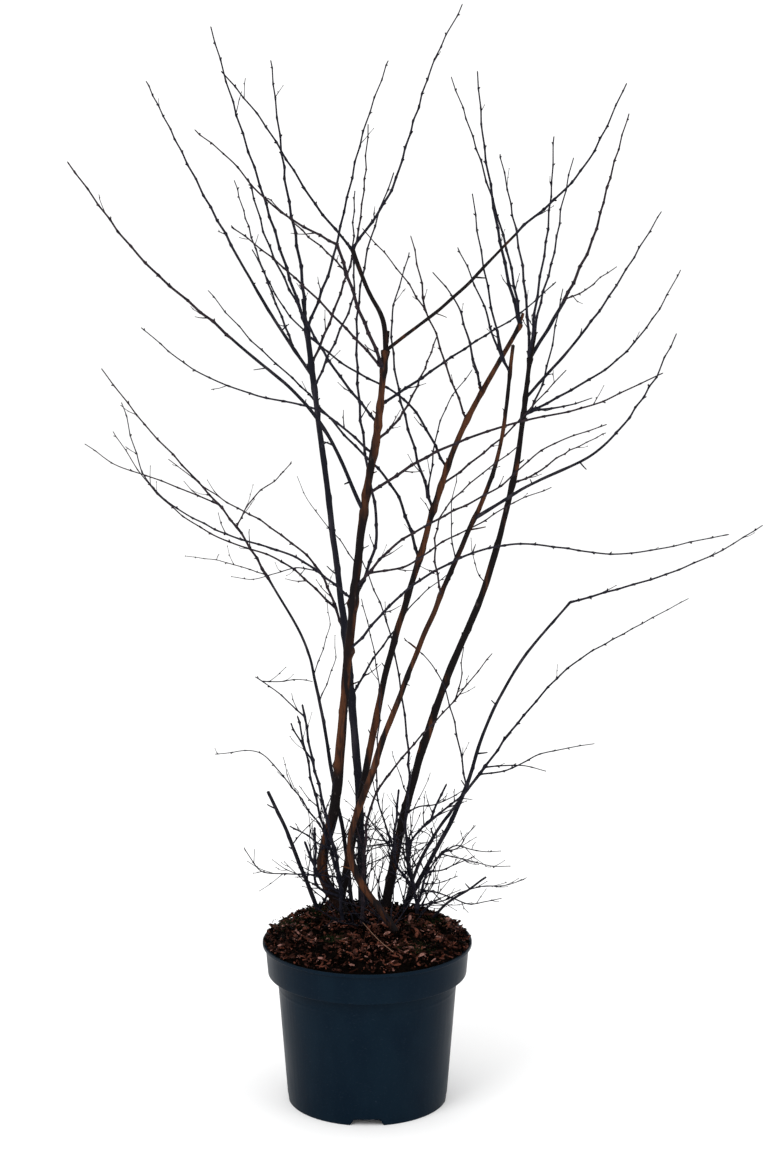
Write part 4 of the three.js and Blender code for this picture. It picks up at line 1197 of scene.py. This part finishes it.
def add_jointed_limb(skin, buds, stretch, draw, lump, forks=()):
    """A whip or twig, bent a little at each joint, with buds in a spiral. Gives the joints."""
    limb = stretch.limb
    count = max(draw["fewest"], int(stretch.length() / draw["step"]))
    places = joint_places(stretch, lump)
    share = np.linspace(stretch.start, stretch.end, count)
    share = drawn_shares(stretch, np.unique(np.concatenate([share, places])))
    centres = limb.points(share)
    radii = limb.drawn_radii(share) * fork_swell(stretch, share, forks) + upper_extra(stretch, centres)
    kinks = draw_kinks(places, lump)
    stops = [stretch.start, *places, stretch.end]
    for axis in range(3):
        centres[:, axis] += np.interp(share, stops, [kink[axis] for kink in kinks])
    for place in places:
        radii *= 1 + JOINT["swell"] * np.exp(-((share - place) * limb.reach / JOINT["reach"]) ** 2)
    add_tube(skin, sunk(stretch, centres), radii, draw["sides"], bulge=BULGE["whip"])
    turn = lump.uniform(0, 2 * math.pi)
    joints = []
    for place, kink in zip(places, kinks[1:]):
        turn += SPIRAL
        along = limb.tangent(place)
        aside = sideways(along, turn, BUD_REFERENCE)
        centre = limb.point(place) + kink
        heading = slanted(along, aside, lump.uniform(*BUD["slant"]))
        radius = np.interp(place, share, radii)
        add_bud(buds, centre + aside * radius * BUD["inset"], heading, aside, radius, lump)
        joints.append((centre, along, aside, place))
    along = limb.tangent(stretch.end)
    aside = unit(np.cross(BUD_REFERENCE, along))
    add_bud(buds, centres[-1] - along * TIP_BUD_DEPTH, along, aside, radii[-1] * TIP_BUD_SHARE, lump)
    return joints


def fine_chance(stretch, joint):
    height = joint[0][2]
    if stretch.node.startswith("twigs_foot") and height < THICKET_TOP:
        return FINE_PER_JOINT["thicket"]
    return FINE_PER_JOINT["low" if height < LOW_CROWN_TOP else "crown"]


def add_fine_twigs(skin, buds, stretch, joints, lump):
    """Finer twigs from some joints, which reach no further than the solid's own twigs."""
    for joint in joints:
        if lump.random() > fine_chance(stretch, joint):
            continue
        centre, along, aside, place = joint
        heading = slanted(along, aside, lump.uniform(*FINE_TWIG["slant"]))
        rest = FINE_TWIG["share_of_rest"] * (1 - place) * stretch.limb.reach + FINE_TWIG["past_rest"]
        reach = min(lump.uniform(*FINE_TWIG["length"]), rest)
        tip = centre + heading * reach + np.array([0, 0, FINE_TWIG["lift"] * reach])
        if tip[2] < GROUND + FINE_TWIG["ground_gap"]:
            continue
        limb = Limb(stretch.node, [centre, centre + heading * reach / 2, tip], FINE_TWIG["thick"])
        add_jointed_limb(skin, buds, Stretch(stretch.node, limb, 0, 1, "fine"), TWIG_DRAW, lump)


def foot_shoot(host, share, lump):
    """One fine shoot on a stem or whip. None where it would leave the thicket."""
    root = host.limb.point(share)
    along = host.limb.tangent(share)
    aside = sideways(along, lump.uniform(0, 2 * math.pi))
    heading = slanted(along, aside, lump.uniform(*THICKET["slant"]))
    reach = lump.uniform(*THICKET["length"])
    tip = root + heading * reach
    tip[2] += reach * THICKET["lift"]
    near = math.dist(tip[:2], THICKET["middle"]) < THICKET["reach"]
    root_fits = GROUND + GAP < root[2] < THICKET["top"]
    tip_fits = GROUND + THICKET["tip_gap"] < tip[2] < THICKET["tip_top"]
    if not (near and root_fits and tip_fits):
        return None
    bow = lump.uniform(-1, 1) * THICKET["bow"] * reach
    limb = Limb(host.node, bowed(root, tip, (bow,)), THICKET["thick"])
    return Stretch("twigs_foot_middle", limb, 0, 1, "fine")


def ground_shoot(lump):
    """One short shoot from the soil, which leans away from the middle of the clump."""
    bearing = lump.uniform(0, 2 * math.pi)
    aside = np.array([math.cos(bearing), math.sin(bearing), 0])
    foot = aside * GROUND_SHOOT["spread"] * math.sqrt(lump.random())
    foot += [*GROUND_SHOOT["middle"], GROUND + GAP]
    lean = lump.uniform(*GROUND_SHOOT["lean"])
    reach = lump.uniform(*GROUND_SHOOT["length"])
    tip = foot + (aside * math.sin(lean) + np.array([0, 0, math.cos(lean)])) * reach
    bow = lump.uniform(-1, 1) * GROUND_SHOOT["bow"] * reach
    limb = Limb("ground shoot", bowed(foot, tip, (bow,)), GROUND_SHOOT["thick"], on_ground=True)
    return Stretch("twigs_foot_middle", limb, 0, 1, "fine")


def add_twiggy_shoot(skin, buds, shoot, lump):
    joints = add_jointed_limb(skin, buds, shoot, TWIG_DRAW, lump)
    add_fine_twigs(skin, buds, shoot, joints, lump)


def add_thicket(skin, buds, stretches, lump):
    for _ in range(GROUND_SHOOT["count"]):
        add_twiggy_shoot(skin, buds, ground_shoot(lump), lump)
    hosts = [stretch for stretch in stretches if stretch.limb.point(stretch.start)[2] < THICKET["top"]]
    lengths = [host.length() for host in hosts]
    made = 0
    while made < THICKET["count"]:
        host = lump.choices(hosts, lengths)[0]
        shoot = foot_shoot(host, lump.uniform(host.start, host.end), lump)
        if shoot:
            add_twiggy_shoot(skin, buds, shoot, lump)
            made += 1


# Pot

def filleted(outline):
    """The outline with each corner off the axis rounded by a short curve."""
    corners = np.asarray(outline, float)
    rounded = [corners[0]]
    for before, corner, after in zip(corners, corners[1:], corners[2:]):
        back, on = before - corner, after - corner
        cut = min(POT_FILLET, FILLET_LIMIT * np.linalg.norm(back), FILLET_LIMIT * np.linalg.norm(on))
        first, last = corner + unit(back) * cut, corner + unit(on) * cut
        for step in range(FILLET_STEPS + 1):
            t = step / FILLET_STEPS
            rounded.append((1 - t) ** 2 * first + 2 * t * (1 - t) * corner + t**2 * last)
    return np.array([*rounded, corners[-1]])


def divided(outline, step):
    """The outline with extra points, no further apart than the step."""
    points = [outline[0]]
    for start, end in zip(outline, outline[1:]):
        count = max(1, math.ceil(np.linalg.norm(end - start) / step))
        points += [start + (end - start) * (i + 1) / count for i in range(count)]
    return points


def body_radius(height):
    share = height / BAND_BOTTOM
    return BODY_BOTTOM_RADIUS + (BODY_TOP_RADIUS - BODY_BOTTOM_RADIUS) * share


def pot_outline():
    """Radius and height round the pot's wall, from the middle of its underside."""
    channel_inner = CENTRE_PAD_RADIUS + CHANNEL_SLOPE
    channel_outer = FOOT_RING_RADIUS - CHANNEL_SLOPE
    floor_top = CHANNEL_HEIGHT + FLOOR_THICKNESS
    low_line = STACKING_LINE["height"] - STACKING_LINE["width"]
    high_line = STACKING_LINE["height"] + STACKING_LINE["width"]
    return [
        (0, 0),
        (CENTRE_PAD_RADIUS, 0),
        (channel_inner, CHANNEL_HEIGHT),
        (channel_outer, CHANNEL_HEIGHT),
        (FOOT_RING_RADIUS, 0),
        (BODY_BOTTOM_RADIUS, 0),
        (body_radius(low_line), low_line),
        (body_radius(STACKING_LINE["height"]) + STACKING_LINE["depth"], STACKING_LINE["height"]),
        (body_radius(high_line), high_line),
        (BODY_TOP_RADIUS, BAND_BOTTOM),
        (BAND_BOTTOM_RADIUS, BAND_BOTTOM),
        (BAND_TOP_RADIUS, POT_HEIGHT - LIP_HEIGHT),
        (LIP_RADIUS, POT_HEIGHT - LIP_HEIGHT),
        (LIP_RADIUS, POT_HEIGHT),
        (BAND_TOP_RADIUS - WALL, POT_HEIGHT - WALL),
        (BAND_BOTTOM_RADIUS - WALL, BAND_BOTTOM + WALL),
        (BODY_TOP_RADIUS - WALL, BAND_BOTTOM + WALL),
        (BODY_BOTTOM_RADIUS - WALL, floor_top),
        (channel_inner - WALL, floor_top),
        (CENTRE_PAD_RADIUS - WALL, FLOOR_THICKNESS),
        (0, FLOOR_THICKNESS),
    ]


def add_turned(skin, outline, segments, shape):
    """A closed solid of revolution, shaped ring by ring. Its outline begins and ends on the axis."""
    angle = around(segments)
    rings = []
    for radius, height in outline[1:-1]:
        radii, heights = shape(np.full(segments, radius), np.full(segments, height), angle)
        rings.append(np.stack([radii * np.cos(angle), radii * np.sin(angle), heights], axis=-1))
    skin.add_rings(rings, [(0, 0, outline[0][1]), (0, 0, outline[-1][1])])


def notched(radii, heights, angle):
    """Raises the foot ring where the four notches pass through it."""
    step = 2 * math.pi / NOTCH["count"]
    from_middle = np.abs((angle + math.pi / 2 + step / 2) % step - step / 2) * BODY_BOTTOM_RADIUS
    slope = (NOTCH["width"] / 2 - from_middle) / (NOTCH["width"] - NOTCH["top_width"]) * 2
    roof = NOTCH["height"] * np.clip(slope, 0, 1)
    on_foot_ring = radii > FOOT_RING_RADIUS - CHANNEL_SLOPE
    raised = np.where(on_foot_ring, np.maximum(heights, roof), heights)
    outside = (radii >= BODY_BOTTOM_RADIUS - POT_FILLET / 2) & (raised > heights)
    return np.where(outside, body_radius(raised), radii), raised


def cut_drain_holes(pot):
    """Cuts the eight round holes through the raised ring of the pot's floor."""
    pegs = bmesh.new()
    for index in range(DRAIN_HOLE["count"]):
        angle = (index + 0.5) / DRAIN_HOLE["count"] * 2 * math.pi
        x, y = (DRAIN_HOLE["ring_radius"] * part for part in (math.cos(angle), math.sin(angle)))
        place = Matrix.Translation((x, y, CHANNEL_HEIGHT + FLOOR_THICKNESS / 2))
        bmesh.ops.create_cone(
            pegs, cap_ends=True, segments=DRAIN_HOLE["sides"], radius1=DRAIN_HOLE["radius"],
            radius2=DRAIN_HOLE["radius"], depth=DRAIN_HOLE["cut_height"], matrix=place)
    mesh = bpy.data.meshes.new("drain pegs")
    pegs.to_mesh(mesh)
    pegs.free()
    cutter = placed("drain pegs", mesh)
    cut = pot.modifiers.new("drain holes", "BOOLEAN")
    cut.operation = "DIFFERENCE"
    cut.solver = "EXACT"
    cut.object = cutter
    shaped = pot.evaluated_get(bpy.context.evaluated_depsgraph_get())
    pot.data = bpy.data.meshes.new_from_object(shaped)
    pot.modifiers.clear()
    bpy.data.objects.remove(cutter)


def make_pot():
    skin = Skin()
    add_turned(skin, divided(filleted(pot_outline()), POT_RING_STEP), POT_SEGMENTS, notched)
    pot = skin.piece("pot_shell", pot_finish())
    cut_drain_holes(pot)
    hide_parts("pot")


# Soil and mulch

def soil_height(radius):
    """Height of the mound of soil at a distance from the middle."""
    edge = BAND_TOP_RADIUS - WALL - 2 * GAP
    return np.interp(radius, [0, MOUND_RADIUS, SHOULDER["radius"], edge],
                     [GROUND, GROUND, POT_HEIGHT + SHOULDER["rise"], POT_HEIGHT - MULCH_EDGE_DROP])


def heap(x, y):
    """How much the mulch is heaped up at a place."""
    return sum(height * np.exp(-((x - a) ** 2 + (y - b) ** 2) / radius**2) for a, b, radius, height in HEAPS)


def lumpy(point):
    """Uneven height of the soil at a place, between about -1 and 1."""
    return sum(height * noise.noise(Vector(point) * scale) for scale, height in SOIL_LUMPS)


def uneven_soil(radii, heights, angle):
    on_top = heights > POT_HEIGHT - MULCH_EDGE_DROP - GAP
    places = np.stack([radii * np.cos(angle), radii * np.sin(angle), heights], axis=-1)
    lift = SOIL_ROUGHNESS * np.array([lumpy(place) - SOIL_SINK for place in places])
    lift += heap(places[:, 0], places[:, 1])
    return radii, np.where(on_top, heights + lift, heights)


def soil_outline():
    inset = WALL + GAP
    floor_top = CHANNEL_HEIGHT + FLOOR_THICKNESS + GAP
    edge = BAND_TOP_RADIUS - inset - GAP
    below = [
        (0, FLOOR_THICKNESS + GAP),
        (CENTRE_PAD_RADIUS - inset - GAP, FLOOR_THICKNESS + GAP),
        (CENTRE_PAD_RADIUS + CHANNEL_SLOPE - inset - GAP, floor_top),
        (BODY_BOTTOM_RADIUS - inset, floor_top),
        (BODY_TOP_RADIUS - inset, BAND_BOTTOM + WALL + GAP),
        (BAND_BOTTOM_RADIUS - inset, BAND_BOTTOM + WALL + GAP),
    ]
    top = [(radius, float(soil_height(radius))) for radius in np.linspace(edge, 0, SOIL_RINGS)]
    return below + top


def chip_corners(sizes, thickness, lump):
    """Corners of an irregular slab that lies flat at the origin, ring by ring and then its middles."""
    length, width = sizes
    count = CHIP_EDGE["corners"]
    uneven = CHIP_EDGE["uneven"]
    angle = np.arange(count) + np.array([lump.uniform(-uneven, uneven) for _ in range(count)])
    angle *= 2 * math.pi / count
    reach = np.array([lump.uniform(*CHIP_EDGE["reach"]) for _ in range(count)])
    across = [np.cos(angle) * reach * length / 2, np.sin(angle) * reach * width / 2]
    most = CHIP_EDGE["bend"]
    bend = np.array([lump.uniform(-most, most) for _ in range(count)]) * length * CHIP_EDGE["bend_share"]
    rings = []
    for size, height in CHIP_PROFILE:
        upright = height * thickness + bend * size
        rings.append(np.stack([across[0] * size, across[1] * size, upright], axis=-1))
    return np.vstack([*rings, [(0, 0, -0.5 * thickness), (0, 0, 0.5 * thickness)]])


def mulch_top(place):
    """Height of the uneven mulch at a place."""
    mound = max(float(soil_height(math.hypot(*place))), POT_HEIGHT) + heap(*place)
    uneven = noise.noise(Vector((*place, 0)) * MULCH_HEAP["scale"])
    return mound + MULCH_HEAP["height"] * uneven


def add_chip(skin, place, sizes, thickness, tilt, lift, lump):
    """A slab of bark that lies on the soil, tipped a little and kept inside the pot's lip."""
    corners = chip_corners(sizes, thickness, lump)
    turned = Euler((lump.gauss(0, tilt), lump.gauss(0, tilt), lump.uniform(0, 2 * math.pi)))
    corners = corners @ np.array(turned.to_matrix()).T + [*place, mulch_top(place) + lift]
    spread = np.hypot(corners[:, 0], corners[:, 1])
    corners[:, :2] *= np.minimum(1, (LIP_RADIUS - CHIP_LIP_GAP) / spread)[:, None]
    skin.add(corners, *closed_faces(len(CHIP_PROFILE), CHIP_EDGE["corners"]))


def add_layer(skins, layer, tilt, lump):
    for _ in range(layer["count"]):
        length = lump.uniform(*layer["length"])
        sizes = (length, length * lump.uniform(*layer["slimness"]))
        thickness = lump.uniform(*layer["thick"])
        lift = lump.uniform(*layer["lift"])
        radius = math.sqrt(lump.random()) * (LIP_RADIUS - CHIP_INSET)
        bearing = lump.uniform(0, 2 * math.pi)
        place = (radius * math.cos(bearing), radius * math.sin(bearing))
        # Damp, shaded places take mostly near-black chips: damp bark with painted shade.
        damp_shaded = noise.noise(Vector((*place, 1)) * DAMP_SHADED_PLACES["scale"]) > DAMP_SHADED_PLACES["level"]
        skin = lump.choices(skins, DAMP_SHADED_SHARES if damp_shaded else DRY_SHARES)[0]
        add_chip(skin, place, sizes, thickness, tilt, lift, lump)


def make_chips(lump):
    skins = [Skin() for _ in CHIP_TINTS]
    add_layer(skins, CHIP, CHIP_TILT, lump)
    add_layer(skins, CRUMB, CRUMB_TILT, lump)
    pieces = []
    # The third tint of chips carries a painted highlight, the fourth painted shade.
    for number, (skin, tint) in enumerate(zip(skins, CHIP_TINTS), start=1):
        finish = chip_finish(f"bark chips {number}", *tint)
        pieces.append(skin.piece(f"bark_chips_{number}", finish, smooth=False))
    return pieces


def make_moss(lump):
    skin = Skin()
    steps = np.linspace(0, 1, MOSS["rings"])
    for _ in range(MOSS["count"]):
        x, y, spread = lump.choice(MOSS_PATCHES)
        root = np.array([lump.gauss(x, spread / 2), lump.gauss(y, spread / 2), 0])
        radius = min(math.hypot(root[0], root[1]), MOUND_RADIUS)
        root[2] = float(soil_height(radius)) + heap(root[0], root[1]) + lump.uniform(*MOSS["lift"])
        heading = unit([lump.uniform(-1, 1), lump.uniform(-1, 1), lump.uniform(*MOSS["rise"])])
        length = lump.uniform(*MOSS["length"])
        centres = root + heading * length * steps[:, None]
        centres[:, 2] -= MOSS["droop"] * length * steps**2
        radii = lump.uniform(*MOSS["width"]) * (MOSS["root"] - MOSS["taper"] * steps)
        add_tube(skin, centres, radii, MOSS["sides"])
    return skin.piece("moss", plain_finish("moss", MOSS_TINT, roughness=0.9, specular=0.02))


def make_straw():
    skin = Skin()
    rings = STRAW_DRAW["rings"]
    centres = spline(np.asarray(STRAW), np.linspace(0, 1, rings))
    add_tube(skin, centres, np.full(rings, STRAW_DRAW["thick"] / 2), STRAW_DRAW["sides"])
    return skin.piece("straw", plain_finish("dry straw", STRAW_TINT, roughness=0.7, specular=0.3))


def make_mulch(lump):
    soil = Skin()
    add_turned(soil, soil_outline(), SOIL_SEGMENTS, uneven_soil)
    pieces = [soil.piece("soil_bed", soil_finish()), *make_chips(lump), make_moss(lump), make_straw()]
    for piece in pieces:
        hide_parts("soil")


# The plant

def finish_wood(skin, name, nodes, material):
    piece = skin.piece(name, material)
    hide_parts(*nodes)


def fork_shares():
    forks = {}
    for row in BOUGHS + WHIPS + FOOT_WHIPS:
        forks.setdefault(row[1], []).append(row[2])
    return forks


def make_wood(lump):
    limbs, stretches = lay_out_wood()
    twigs = grow_side_twigs(stretches)
    forks = fork_shares()
    skins = {kind: Skin() for kind in BARK_OF}
    nodes = {kind: [] for kind in BARK_OF}
    for stretch in stretches:
        if stretch.kind == "whip":
            continue
        # Limbs not named in BARK_KIND get the dark bark, painted shade.
        kind = BARK_KIND.get(stretch.node, "dark")
        nodes[kind].append(stretch.node)
        draw = STEM_DRAW if stretch.kind == "stem" else BOUGH_DRAW
        add_bark_limb(skins[kind], stretch, draw, forks.get(stretch.node, []), lump)
        add_snags(skins[kind], stretch, lump)
    for name, tip, thick in CUT_ENDS:
        add_cut_end(skins[BARK_KIND.get(name, "dark")], limbs[name], tip, thick, lump)
    for kind, skin in skins.items():
        finish_wood(skin, f"{kind}_bark", nodes[kind], bark_finish(f"{kind} bark", *BARK_OF[kind]))
    make_masses(limbs, stretches, twigs, forks, lump)


def make_masses(limbs, stretches, twigs, forks, lump):
    nodes = list(dict.fromkeys(stretch.node for stretch in stretches if stretch.kind == "whip"))
    skins = [Skin() for _ in TWIG_TINTS]
    buds = Skin()
    tint_of = {node: index % len(TWIG_TINTS) for index, node in enumerate(nodes)}
    for stretch in [s for s in stretches if s.kind == "whip"] + twigs:
        draw = WHIP_DRAW if stretch.kind == "whip" else TWIG_DRAW
        skin = skins[tint_of[stretch.node]]
        shares = forks.get(stretch.limb.name, []) if stretch.kind == "whip" else []
        joints = add_jointed_limb(skin, buds, stretch, draw, lump, shares)
        add_fine_twigs(skin, buds, stretch, joints, lump)
    for parent, share, tip, bow, thick in INNER_SHOOTS:
        limb = Limb(parent, bowed(limbs[parent].point(share), tip, bow), thick)
        add_jointed_limb(skins[0], buds, Stretch(nodes[0], limb, 0, 1, "whip"), TWIG_DRAW, lump)
    add_thicket(skins[0], buds, stretches, lump)
    for index, (skin, (light, dark)) in enumerate(zip(skins, TWIG_TINTS)):
        own = [node for node in nodes if tint_of[node] == index]
        finish = twig_finish(f"twig bark {index + 1}", light, dark)
        finish_wood(skin, f"twigs_tint_{index + 1}", own, finish)
    finish_wood(buds, "buds", nodes, twig_finish("buds", *BUD_TINT))


# Camera, floor and light

def make_camera():
    data = bpy.data.cameras.new("photograph")
    data.lens = CAMERA_LENS
    data.sensor_width = CAMERA_SENSOR
    camera = placed("photograph", data)
    camera.location = CAMERA_PLACE
    camera.rotation_euler = (math.pi / 2 - CAMERA_TILT, 0, 0)
    bpy.context.scene.camera = camera


def make_floor():
    finish = Finish("studio floor", roughness=0.9, specular=0.1)
    mottle = finish.effect(PATCHES, Scale=2, Stretch=1, Detail=2, Low=0.3, High=0.7)
    finish.colour(finish.mixed(mottle, *FLOOR_TINTS))
    half = FLOOR_SIZE / 2
    corners = [(-half, -half, 0), (half, -half, 0), (half, half, 0), (-half, half, 0)]
    mesh = bpy.data.meshes.new("studio_floor")
    mesh.from_pydata(corners, [], [(0, 1, 2, 3)])
    mesh.materials.append(finish.material)
    floor = placed("studio_floor", mesh)


def make_light():
    world = bpy.data.worlds.new("studio")
    world.use_nodes = True
    background = world.node_tree.nodes["Background"].inputs
    background["Color"].default_value = (1, 1, 1, 1)
    background["Strength"].default_value = WORLD_STRENGTH
    bpy.context.scene.world = world
    bpy.context.scene.view_settings.view_transform = "Standard"
    for name, place, size, power in LAMPS:
        data = bpy.data.lights.new(name, "AREA")
        data.size = size
        data.energy = power
        lamp = placed(name, data)
        lamp.location = place
        lamp.rotation_euler = (Vector(LAMP_TARGET) - Vector(place)).to_track_quat("-Z", "Y").to_euler()


make_pot()
make_mulch(random.Random(SEED))
make_wood(random.Random(SEED))
make_camera()
make_floor()
make_light()
